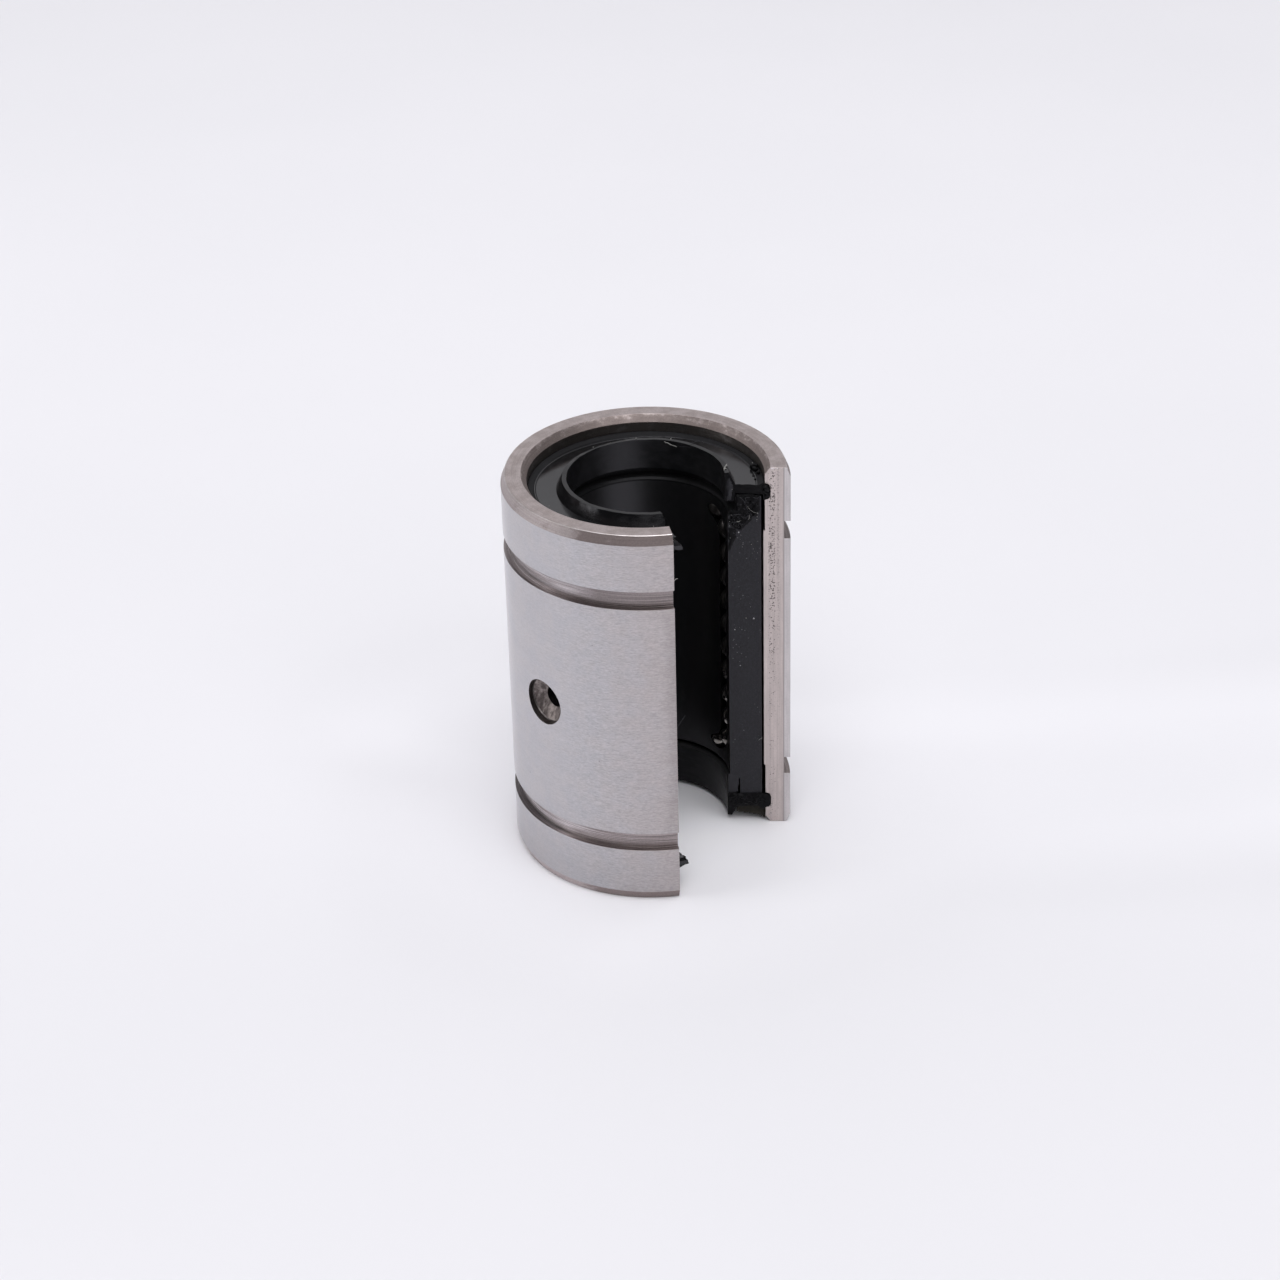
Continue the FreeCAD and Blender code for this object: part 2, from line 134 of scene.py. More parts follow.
class NodeSheet:
    """Node tree of one material or of the surround, written through short calls."""

    BAND_FLAT = 0.4
    CLOUD_RANGE = (0.3, 0.7)

    def __init__(self, name: str, world: bpy.types.World | None = None) -> None:
        """Start a material with its principled shader, or go on with the world's background.

        Args:
            name: Name of the material.
            world: The surround to write to, in place of a new material.
        """
        self.material = world or bpy.data.materials.new(name)
        self.material.use_nodes = True
        self.tree = self.material.node_tree
        self.shader = self.tree.nodes["Background" if world else "Principled BSDF"]

    def feed(self, socket: Socket, value: object) -> None:
        """Link a socket, or set its plain value.

        Args:
            socket: Input of a node.
            value: Output of another node, or a constant.
        """
        if isinstance(value, Socket):
            self.tree.links.new(value, socket)
        else:
            socket.default_value = value

    def add(self, kind: str, inputs: dict[int | str, object], **settings: object) -> bpy.types.Node:
        """Add one node.

        Args:
            kind: Type name of the node.
            inputs: Value or source of each input, by its number or name.
            **settings: Properties of the node itself.

        Returns:
            The new node.
        """
        node = self.tree.nodes.new(kind)
        for key, value in settings.items():
            setattr(node, key, value)
        for key, value in inputs.items():
            self.feed(node.inputs[key], value)
        return node

    def math(self, operation: str, first: object, second: object = 0.0) -> Socket:
        """Work out one value from two."""
        return self.add("ShaderNodeMath", {0: first, 1: second}, operation=operation).outputs[0]

    def plus(self, *values: object) -> Socket:
        """Add values up."""
        return reduce(partial(self.math, "ADD"), values)

    def times(self, *values: object) -> Socket:
        """Multiply values."""
        return reduce(partial(self.math, "MULTIPLY"), values)

    def minus(self, first: object, second: object) -> Socket:
        """Take one value from another."""
        return self.math("SUBTRACT", first, second)

    def size(self, value: object) -> Socket:
        """Drop a value's sign."""
        return self.math("ABSOLUTE", value)

    def point(self) -> Socket:
        """Give the place on the part in millimetres."""
        place = self.add("ShaderNodeTexCoord", {}).outputs["Object"]
        return self.stretch(place, (1 / MM, 1 / MM, 1 / MM))

    def stretch(self, vector: Socket, factors: Sequence[float]) -> Socket:
        """Scale a vector along each axis."""
        return self.add("ShaderNodeVectorMath", {0: vector, 1: factors}, operation="MULTIPLY").outputs[0]

    def along(self, vector: Socket, direction: Sequence[float]) -> Socket:
        """Give how far a place lies along a direction."""
        inputs = {0: vector, 1: direction}
        return self.add("ShaderNodeVectorMath", inputs, operation="DOT_PRODUCT").outputs["Value"]

    def cylinder(self) -> tuple[Socket, Socket, Socket]:
        """Give a place by its distance from the axis, its angle and its height.

        Returns:
            Its radius in millimetres, its angle from +Y in radians and its height in millimetres.
        """
        parts = self.add("ShaderNodeSeparateXYZ", {0: self.point()}).outputs
        square = self.plus(self.math("POWER", parts[0], 2.0), self.math("POWER", parts[1], 2.0))
        return self.math("SQRT", square), self.math("ARCTAN2", parts[0], parts[1]), parts[2]

    def join(self, first: object, second: object, third: object) -> Socket:
        """Make a vector of three values."""
        return self.add("ShaderNodeCombineXYZ", {0: first, 1: second, 2: third}).outputs[0]

    def cloud(self, vector: Socket, scale: float, detail: float = 3.0, rough: float = 0.55) -> Socket:
        """Give a soft random pattern from 0 to 1."""
        inputs = {"Vector": vector, "Scale": scale, "Detail": detail, "Roughness": rough}
        return self.add("ShaderNodeTexNoise", inputs).outputs[0]

    def cells(self, vector: Socket, scale: float) -> Socket:
        """Give the distance to the nearest of many scattered points."""
        return self.add("ShaderNodeTexVoronoi", {"Vector": vector, "Scale": scale}).outputs["Distance"]

    def span(
        self, value: Socket, low: float, high: float, at_low: float = 0.0, at_high: float = 1.0
    ) -> Socket:
        """Carry a value from one range to another, held at both ends."""
        inputs = {0: value, 1: low, 2: high, 3: at_low, 4: at_high}
        return self.add("ShaderNodeMapRange", inputs, interpolation_type="SMOOTHSTEP").outputs[0]

    def vary(self, cloud: Socket, at_low: float, at_high: float) -> Socket:
        """Carry the usual range of a soft random pattern to another range."""
        return self.span(cloud, *self.CLOUD_RANGE, at_low, at_high)

    def band(self, value: Socket, centre: float, half_width: float) -> Socket:
        """Give 1 near a centre value, falling to 0 at half a width from it."""
        away = self.size(self.minus(value, centre))
        return self.span(away, half_width * self.BAND_FLAT, half_width, 1.0, 0.0)

    def blend(self, share: Socket, first: object, second: object) -> Socket:
        """Mix two colours."""
        inputs = {0: share, 6: first, 7: second}
        return self.add("ShaderNodeMix", inputs, data_type="RGBA").outputs[2]

    def darken(self, colour: Socket, value: Socket) -> Socket:
        """Multiply a colour by a value."""
        shade = self.join(value, value, value)
        return self.add("ShaderNodeVectorMath", {0: colour, 1: shade}, operation="MULTIPLY").outputs[0]

    def bump(self, height: Socket, depth: float) -> None:
        """Turn the shader's normal by a height pattern whose full depth is in millimetres."""
        inputs = {"Height": height, "Distance": depth * MM, "Strength": 1.0}
        self.feed(self.shader.inputs["Normal"], self.add("ShaderNodeBump", inputs).outputs[0])

    def surface(self, **values: object) -> Material:
        """Set the shader's inputs.

        Args:
            **values: Source or constant of each input, named with underscores for spaces.

        Returns:
            The finished material.
        """
        for name, value in values.items():
            self.feed(self.shader.inputs[name.replace("_", " ")], value)
        return self.material


@dataclass(frozen=True)
class GroundSteel:
    """Centreless-ground steel: fine lines round the axis over a faint pink and violet mottle."""

    cool: Colour = (0.476, 0.466, 0.485, 1.0)
    warm: Colour = (0.498, 0.479, 0.489, 1.0)
    tint: Colour = (0.450, 0.405, 0.399, 1.0)
    line_depth: float = 0.0012

    def material(self) -> Material:
        """Make the finish.

        Returns:
            The material with all its nodes.
        """
        sheet = NodeSheet("ground_steel_outside")
        point = sheet.point()
        fine = sheet.cloud(sheet.stretch(point, (1.3, 1.3, 11.0)), 1.0, 2.0, 0.6)
        short = sheet.cloud(sheet.stretch(point, (3.5, 3.5, 18.0)), 1.0, 2.0, 0.6)
        broad = sheet.cloud(sheet.stretch(point, (0.12, 0.12, 2.4)), 1.0, 2.0)
        mottle = sheet.cloud(point, 0.55, 4.0, 0.6)
        grain = sheet.cloud(point, 7.0, 2.0)
        angle, height = sheet.cylinder()[1:]
        away = sheet.size(angle)
        heat = sheet.span(sheet.plus(away, sheet.times(mottle, 0.5)), 1.95, 2.85, 0.0, 0.8)
        tone = sheet.blend(sheet.span(mottle, 0.36, 0.64), self.cool, self.warm)
        tone = sheet.blend(heat, tone, self.tint)
        lines = sheet.plus(sheet.vary(fine, -0.7, 0.7), sheet.vary(short, -1.0, 1.0))
        shade = sheet.plus(
            sheet.times(lines, sheet.span(away, 1.45, 1.95, 0.045, 0.110)),
            sheet.vary(broad, 0.985, 1.015),
            sheet.vary(grain, -0.03, 0.03),
        )
        near_slit = sheet.span(sheet.plus(away, sheet.times(mottle, 0.1)), 2.40, 2.51, 1.0, 0.84)
        mid_length = sheet.span(sheet.size(height), 6.0, 12.0, 0.84, 1.0)
        dull = sheet.math("MAXIMUM", near_slit, mid_length)
        slit_side = sheet.span(away, 1.55, 1.95, 1.0, 0.955)
        # painted highlight: up to a quarter brighter on the side away from the slit, as a bright limb
        painted_limb_highlight = sheet.span(away, 0.80, 1.08, 1.24, 1.0)
        # painted shade: a little darker towards the lower end
        foot = sheet.span(height, -15.5, -11.0, 0.93, 1.0)
        specks = sheet.span(sheet.cells(point, 0.30), 0.014, 0.028, 0.6, 1.0)
        shade = sheet.times(shade, dull, slit_side, painted_limb_highlight, foot, specks)
        sheet.bump(sheet.plus(fine, sheet.times(grain, 0.4)), self.line_depth)
        return sheet.surface(
            Base_Color=sheet.darken(tone, shade),
            Roughness=sheet.span(fine, 0.2, 0.8, 0.30, 0.40),
            Metallic=1.0,
            Anisotropic=0.35,
        )


@dataclass(frozen=True)
class TurnedSteel:
    """Lathe-turned steel with tool rings about the axis and a film of brown oxide."""

    name: str
    bare: Colour
    oxide: Colour
    oxide_share: float
    roughness: float
    ring_scale: float = 9.0
    ring_depth: float = 0.004
    ring_contrast: float = 0.12
    ring_dark: float = 1.33
    ring_light: float = 0.67
    stain_length: float = 1.0
    stain_radius: float = 0.0
    stain_slope: float = 0.0
    slit_stain: float = 0.0
    stain_turn: float = 0.0
    low_gain: float = 1.0
    # painted shade in a corner: the share by which it darkens, and the height of the corner
    corner_shade: float = 0.0
    corner_shade_height: float = 0.0
    wall_share: float = 1.37
    mean_radius: float = 10.0
    bare_below: float = 0.62
    oxide_above: float = 0.86

    def material(self) -> Material:
        """Make the finish.

        Returns:
            The material with all its nodes.
        """
        sheet = NodeSheet(self.name)
        radius, angle, height = sheet.cylinder()
        along = sheet.plus(radius, sheet.times(height, self.wall_share))
        away = sheet.size(angle)
        rings = sheet.cloud(sheet.join(sheet.times(along, self.ring_scale), angle, 0.0), 1.0, 4.0, 0.7)
        grain = sheet.cloud(sheet.point(), 9.0, 3.0)
        turned = sheet.plus(angle, math.radians(self.stain_turn))
        around = sheet.times(turned, self.mean_radius / self.stain_length)
        inward = sheet.minus(self.stain_radius, radius)
        stain = sheet.plus(
            sheet.cloud(sheet.join(around, along, 0.0), 0.9, 5.0, 0.65),
            sheet.times(inward, self.stain_slope),
            sheet.span(away, 1.60, 2.05, 0.0, self.slit_stain),
        )
        more = self.oxide_share / 2
        rusted = sheet.span(stain, self.bare_below - more, self.oxide_above - more)
        tone = sheet.blend(rusted, self.bare, self.oxide)
        dark = 1.0 - self.ring_dark * self.ring_contrast
        light = 1.0 + self.ring_light * self.ring_contrast
        # painted shade: a dark line along the corner at that height, on the side away from the slit
        corner = sheet.size(sheet.minus(height, self.corner_shade_height))
        unshaded_corner = sheet.span(corner, 0.05, 0.32, 1.0 - self.corner_shade, 1.0)
        unshaded_side = sheet.span(away, 1.35, 1.75)
        unshaded = sheet.math("MAXIMUM", unshaded_corner, unshaded_side)
        lower_end = sheet.span(height, -2.0, 2.0, self.low_gain, 1.0)
        tool_marks = sheet.span(rings, 0.25, 0.75, dark, light)
        shade = sheet.times(tool_marks, sheet.span(grain, 0.25, 0.75, 0.90, 1.08), lower_end, unshaded)
        sheet.bump(sheet.plus(rings, sheet.times(grain, 0.5)), self.ring_depth)
        return sheet.surface(
            Base_Color=sheet.darken(tone, shade),
            Roughness=sheet.vary(stain, self.roughness - 0.04, self.roughness + 0.08),
            Metallic=1.0,
        )


@dataclass(frozen=True)
class MilledSteel:
    """Face cut along the axis: lengthwise cutter lines, two files of torn pits and a hard outer skin."""

    bare: Colour = (0.574, 0.507, 0.490, 1.0)
    skin: Colour = (0.620, 0.585, 0.590, 1.0)
    pit: Colour = (0.070, 0.061, 0.058, 1.0)
    skin_radius: float = 10.48
    skin_blur: float = 0.03
    seam_width: float = 0.07
    pit_files: tuple[float, float] = (9.56, 10.05)
    pit_file_widths: tuple[float, float] = (0.34, 0.16)
    pit_shares: tuple[float, float] = (1.0, 0.35)
    line_depth: float = 0.006
    pit_depth: float = 3.0

    def material(self) -> Material:
        """Make the finish.

        Returns:
            The material with all its nodes.
        """
        sheet = NodeSheet("milled_cut_face")
        radius, angle, height = sheet.cylinder()
        point = sheet.point()
        course = sheet.join(sheet.times(radius, 9.0), sheet.times(height, 0.12), angle)
        lines = sheet.cloud(course, 1.0, 4.0, 0.65)
        grain = sheet.cloud(point, 8.0, 3.0)
        smear = sheet.cloud(sheet.join(sheet.times(radius, 2.0), sheet.times(height, 0.5), 0.0), 1.0)
        in_skin = sheet.span(radius, self.skin_radius - self.skin_blur, self.skin_radius + self.skin_blur)
        tone = sheet.blend(in_skin, self.bare, self.skin)
        files = [
            sheet.times(sheet.band(radius, place, width), share)
            for place, width, share in zip(self.pit_files, self.pit_file_widths, self.pit_shares)
        ]
        whole = sheet.plus(
            sheet.cells(point, 6.8),
            sheet.vary(sheet.cloud(point, 8.0), -0.2, 0.2),
            sheet.span(height, -6.0, 7.0, -0.13, -0.36),
            sheet.vary(sheet.cloud(point, 0.5), 0.06, -0.06),
        )
        pits = sheet.times(sheet.plus(*files), sheet.span(whole, -0.06, 0.05, 0.85, 0.0))
        shade = sheet.times(
            sheet.span(lines, 0.25, 0.75, 0.86, 1.06),
            sheet.span(grain, 0.2, 0.8, 0.93, 1.05),
            sheet.vary(smear, 0.95, 1.04),
            sheet.minus(1.0, sheet.band(radius, self.skin_radius, self.seam_width)),
        )
        shade = sheet.math("MAXIMUM", shade, sheet.span(lines, 0.25, 0.75, 0.62, 0.78))
        depth = sheet.plus(lines, sheet.times(pits, -self.pit_depth), sheet.times(grain, 0.3))
        sheet.bump(depth, self.line_depth)
        return sheet.surface(
            Base_Color=sheet.blend(pits, sheet.darken(tone, shade), self.pit),
            Roughness=sheet.span(grain, 0.2, 0.8, 0.36, 0.48),
            Metallic=1.0,
        )


@dataclass(frozen=True)
class PolishedBall:
    """Lapped ball under a thin uneven film of oil, painted darker higher up on the right-hand train as
    painted shade.
    """

    chrome: Colour = (0.50, 0.475, 0.445, 1.0)
    film: Colour = (0.24, 0.215, 0.185, 1.0)
    # colour of the painted shade on the right-hand train's upper balls
    grease: Colour = (0.125, 0.118, 0.115, 1.0)
    painted_shade_start: float = -6.0
    painted_shade_full: float = -1.5
    scratch_depth: float = 0.0006

    def material(self) -> Material:
        """Make the finish.

        Returns:
            The material with all its nodes.
        """
        sheet = NodeSheet("polished_ball")
        point = sheet.point()
        film = sheet.cloud(point, 0.9, 3.0)
        scratch = sheet.cloud(sheet.stretch(point, (4.0, 9.0, 2.0)), 2.0, 4.0, 0.7)
        side, _, height = sheet.add("ShaderNodeSeparateXYZ", {0: point}).outputs
        # painted shade: higher up on the right-hand train the balls are painted darker and rougher, where
        # they mirror the dark bore
        painted_shade_share = sheet.times(
            sheet.span(height, self.painted_shade_start, self.painted_shade_full, 0.0, 0.92),
            sheet.span(side, 1.0, 3.0),
        )
        oiled = sheet.blend(sheet.span(film, 0.45, 0.75, 0.0, 0.6), self.chrome, self.film)
        sheet.bump(scratch, self.scratch_depth)
        return sheet.surface(
            Base_Color=sheet.blend(painted_shade_share, oiled, self.grease),
            Roughness=sheet.plus(sheet.vary(film, 0.10, 0.22), sheet.times(painted_shade_share, 0.2)),
            Metallic=1.0,
        )


@dataclass(frozen=True)
class RingPlastic:
    """Black moulded plastic of the end rings: fine grain, light scuffs and a little dust."""

    black: Colour = (0.0045, 0.0045, 0.0052, 1.0)
    worn: Colour = (0.012, 0.012, 0.0135, 1.0)
    dust: Colour = (0.30, 0.29, 0.26, 1.0)
    grain_depth: float = 0.003
    name: str = "ring_plastic_satin"
    roughness: float = 0.30
    gloss: float = 0.5
    sheen: Colour = (0.95, 0.935, 1.0, 1.0)

    def material(self) -> Material:
        """Make the finish.

        Returns:
            The material with all its nodes.
        """
        sheet = NodeSheet(self.name)
        point = sheet.point()
        grain = sheet.cloud(point, 14.0, 3.0, 0.6)
        scuff = sheet.cloud(sheet.stretch(point, (1.0, 1.0, 2.5)), 0.9, 5.0, 0.65)
        few = sheet.span(sheet.cloud(point, 0.7, 2.0), 0.50, 0.62, 0.0, 0.05)
        specks = sheet.times(sheet.math("LESS_THAN", sheet.cells(point, 1.5), few), 0.8)
        tone = sheet.blend(sheet.span(scuff, 0.4, 0.75), self.black, self.worn)
        sheet.bump(sheet.plus(grain, sheet.times(scuff, 0.8)), self.grain_depth)
        return sheet.surface(
            Base_Color=sheet.blend(specks, tone, self.dust),
            Roughness=sheet.vary(scuff, self.roughness - 0.05, self.roughness + 0.08),
            Specular_IOR_Level=self.gloss,
            Specular_Tint=self.sheen,
        )


@dataclass(frozen=True)
class CagePlastic:
    """Black plastic of the cage: satin in the bore, sawn and with dust specks where the slit cuts through it,
    and painted light on its end shoulders.
    """

    black: Colour = (0.0060, 0.0060, 0.0066, 1.0)
    sawn: Colour = (0.0090, 0.0090, 0.0115, 1.0)
    dust: Colour = (0.42, 0.42, 0.44, 1.0)
    cut_angle: float = 180.0 - 39.5
    cut_tolerance: float = 0.6
    painted_gap_light: Colour = (0.016, 0.016, 0.017, 1.0)
    shoulder_height: float = 11.8
    shoulder_radius: float = 6.4
    grain_depth: float = 0.004
    sheen: Colour = (0.95, 0.935, 1.0, 1.0)

    def material(self) -> Material:
        """Make the finish.

        Returns:
            The material with all its nodes.
        """
        sheet = NodeSheet("cage_plastic_satin")
        radius, angle, height = sheet.cylinder()
        point = sheet.point()
        edge = math.radians(self.cut_angle - self.cut_tolerance)
        cut = sheet.math("GREATER_THAN", sheet.size(angle), edge)
        strokes = sheet.cloud(sheet.stretch(point, (2.2, 2.2, 1.6)), 2.6, 5.0, 0.7)
        grain = sheet.cloud(point, 11.0, 3.0, 0.6)
        few = sheet.span(sheet.cloud(point, 0.8, 2.0), 0.44, 0.60, 0.0, 0.075)
        fine = sheet.span(sheet.cloud(point, 0.5, 2.0), 0.42, 0.62, 0.0, 0.16)
        specks = sheet.plus(
            sheet.math("LESS_THAN", sheet.cells(point, 1.15), few),
            sheet.times(sheet.math("LESS_THAN", sheet.cells(point, 3.6), fine), 0.22),
        )
        specks = sheet.times(sheet.math("MINIMUM", specks, 1.0), cut)
        mottle = sheet.times(sheet.vary(strokes, 0.6, 1.4), sheet.vary(grain, 0.45, 1.6))
        tone = sheet.blend(cut, self.black, sheet.darken(self.sawn[:3], mottle))
        sheet.bump(sheet.plus(grain, sheet.times(strokes, cut, 2.0)), self.grain_depth)
        satin = sheet.vary(grain, 0.30, 0.38)
        # painted light: past the bore's chamfer the end shoulders get a lighter tone in the dark gap under
        # the rings' collars; their gloss is turned down
        end = sheet.span(sheet.size(height), self.shoulder_height - 0.05, self.shoulder_height)
        dull = sheet.times(end, sheet.minus(1.0, cut))
        behind = sheet.span(radius, self.shoulder_radius - 0.08, self.shoulder_radius)
        tone = sheet.blend(sheet.times(dull, behind), tone, self.painted_gap_light)
        return sheet.surface(
            Base_Color=sheet.blend(specks, tone, self.dust),
            Roughness=sheet.plus(satin, sheet.times(cut, 0.22)),
            Specular_IOR_Level=sheet.span(dull, 0.0, 1.0, 0.44, 0.12),
            Specular_Tint=self.sheen,
        )


@dataclass(frozen=True)
class BackdropPaper:
    """Plain pale paper that the part stands on."""

    tone: Colour = (0.868, 0.860, 0.905, 1.0)
    fibre: Colour = (0.858, 0.851, 0.896, 1.0)
    fade_start: float = 400.0
    fade_end: float = 660.0
    depth_direction: Triple = (0.753, 0.658, 0.0)
    shadow_direction: Triple = (0.731, -0.682, 0.0)
    across_shadow: Triple = (0.682, 0.731, 0.0)
    front_shade: float = 0.10
    back_shade: float = 0.01
    slit_painted_light: float = 0.16

    def material(self) -> Material:
        """Make the finish, which fades out into the surround far from the part.

        For the camera alone the paper carries painted shade, a little darker in front, away from the part's
        shadows, and painted light inside the slit, where it glows and lifts the shadow.

        Returns:
            The material with all its nodes.
        """
        sheet = NodeSheet("backdrop_paper")
        point = sheet.point()
        patch = sheet.cloud(point, 0.02, 2.0)
        distance, angle = sheet.cylinder()[:2]
        seen = sheet.add("ShaderNodeLightPath", {}).outputs["Is Camera Ray"]
        depth = sheet.along(point, self.depth_direction)
        strip = sheet.times(
            sheet.band(sheet.along(point, self.across_shadow), 2.0, 18.0),
            sheet.span(sheet.along(point, self.shadow_direction), -4.0, 8.0),
        )
        behind = sheet.times(sheet.band(angle, 0.1, 0.5), sheet.span(distance, 24.0, 38.0, 1.0, 0.0))
        shade = sheet.times(
            sheet.span(depth, -60.0, 150.0, self.front_shade, self.back_shade),
            sheet.span(distance, 11.0, 26.0),
            sheet.minus(1.0, sheet.math("MAXIMUM", strip, behind)),
            seen,
        )
        # painted light: inside the slit the paper glows for the camera
        glow = sheet.times(
            sheet.span(distance, 4.0, 12.0, self.slit_painted_light, 0.0),
            sheet.span(depth, -3.0, 3.0, 1.0, 0.0),
            seen,
        )
        paper = sheet.blend(sheet.span(patch, 0.35, 0.65), self.tone, self.fibre)
        return sheet.surface(
            Alpha=sheet.span(distance, self.fade_start, self.fade_end, 1.0, 0.0),
            Base_Color=sheet.darken(paper, sheet.minus(1.0, shade)),
            Roughness=0.9,
            Specular_IOR_Level=0.1,
            Emission_Color=self.tone,
            Emission_Strength=glow,
        )


@dataclass(frozen=True)
class Row:
    """One line of a turned skin: its radius, its height and the zone of the band that follows it."""

    radius: float
    height: float
    zone: int


def add_face(mesh: Mesh, corners: Iterable[Vert], slot: int) -> None:
    """Add one smooth face with the material of a slot.

    Args:
        mesh: Mesh that takes the face.
        corners: Its corners in order.
        slot: Number of its material.
    """
    face = mesh.faces.new(tuple(corners))
    face.material_index = slot
    face.smooth = True


class TurnedSkin:
    """Closed mesh that a section makes when it is swept round the axis from one slit edge to the other."""

    def __init__(self, rows: Sequence[Row], shares: Sequence[float], gaps: Sequence[Gap]) -> None:
        """Place the vertices.

        Args:
            rows: The section's corners in order round its outline.
            shares: Places from 0 to 1 along the sweep.
            gaps: Angle in degrees from the slit's middle at a radius, for the sweep's start and for its end.
        """
        self.rows = rows
        self.columns = len(shares)
        self.mesh = bmesh.new()
        self.verts = []
        for row in rows:
            angles = [self.angle_at(row.radius, share, gaps) for share in shares]
            self.verts.append([self.put(polar(row.radius, angle, row.height)) for angle in angles])
        self.open_cells: set[tuple[int, int]] = set()

    @staticmethod
    def angle_at(radius: float, share: float, gaps: Sequence[Gap]) -> float:
        """Give the angle in degrees at a share of the sweep."""
        start, end = (gap(radius) for gap in gaps)
        return SLIT_DIRECTION + start + share * (360.0 - start - end)

    def put(self, place: Vector) -> Vert:
        """Add a vertex at a place in millimetres."""
        return self.mesh.verts.new(place * MM)

    def face(self, corners: Iterable[Vert], zone: int) -> None:
        """Add one smooth face of a zone."""
        add_face(self.mesh, corners, zone)

    def stack(self, first: Sequence[Vert], second: Sequence[Vert], zone: int) -> None:
        """Join two closed loops of as many vertices with a band of faces.

        Args:
            first: Vertices of one loop in order.
            second: Vertices of the other loop.
            zone: Zone of the band.
        """
        for index, corner in enumerate(first):
            after = (index + 1) % len(first)
            self.face((corner, first[after], second[after], second[index]), zone)

    def patch(self, rows: Sequence[int], columns: Sequence[int]) -> list[tuple[int, int]]:
        """Leave a rectangle of cells open.

        Args:
            rows: First and last row of the rectangle.
            columns: First and last column of the rectangle.

        Returns:
            Row and column of each vertex on its rim, in order.
        """
        top, bottom = rows
        left, right = columns
        self.open_cells |= {(row, column) for row in range(top, bottom) for column in range(left, right)}
        rim = [(top, column) for column in range(left, right)]
        rim += [(row, right) for row in range(top, bottom)]
        rim += [(bottom, column) for column in range(right, left, -1)]
        rim += [(row, left) for row in range(bottom, top, -1)]
        return rim

    def skin(self, end_zone: int) -> None:
        """Cover the section's sweep, leaving the open cells, and close both ends.

        Args:
            end_zone: Zone of the ends.
        """
        count = len(self.rows)
        for row in range(count):
            after = (row + 1) % count
            for column in range(self.columns - 1):
                if (row, column) in self.open_cells:
                    continue
                corners = (
                    self.verts[row][column],
                    self.verts[row][column + 1],
                    self.verts[after][column + 1],
                    self.verts[after][column],
                )
                self.face(corners, self.rows[row].zone)
        for column in (0, self.columns - 1):
            self.face([line[column] for line in self.verts], end_zone)

    def finish(self, name: str, materials: Sequence[Material], rounding: float) -> Piece:
        """Make an object of the mesh.

        Args:
            name: Name of the piece.
            materials: One material per zone.
            rounding: Width in millimetres by which sharp edges are broken.

        Returns:
            The object, with its edges rounded by a modifier.
        """
        loose = [vert for vert in self.mesh.verts if not vert.link_faces]
        bmesh.ops.delete(self.mesh, geom=loose, context="VERTS")
        bmesh.ops.recalc_face_normals(self.mesh, faces=self.mesh.faces)
        piece = new_piece(name, self.mesh, materials)
        edge = piece.modifiers.new("broken_edges", "BEVEL")
        edge.width = rounding * MM
        edge.segments = EDGE_SEGMENTS
        edge.limit_method = "ANGLE"
        edge.angle_limit = math.radians(EDGE_ANGLE)
        edge.harden_normals = True
        return piece


def mesh_object(name: str, mesh: Mesh, materials: Sequence[Material]) -> Piece:
    """Make an object of a finished mesh.

    Args:
        name: Name of the object.
        mesh: Its faces, which are freed afterwards.
        materials: One material per slot.

    Returns:
        The new object.
    """
    data = bpy.data.meshes.new(name)
    mesh.to_mesh(data)
    mesh.free()
    for material in materials:
        data.materials.append(material)
    made = bpy.data.objects.new(name, data)
    bpy.context.scene.collection.objects.link(made)
    return made


def new_piece(name: str, mesh: Mesh, materials: Sequence[Material]) -> Piece:
    """Make a piece of a finished mesh that rides on the housing.

    Args:
        name: Name of the piece.
        mesh: Its faces, which are freed afterwards.
        materials: One material per slot.

    Returns:
        The new piece.
    """
    piece = mesh_object(name, mesh, materials)
    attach(piece, HOUSING_BODY)
    return piece


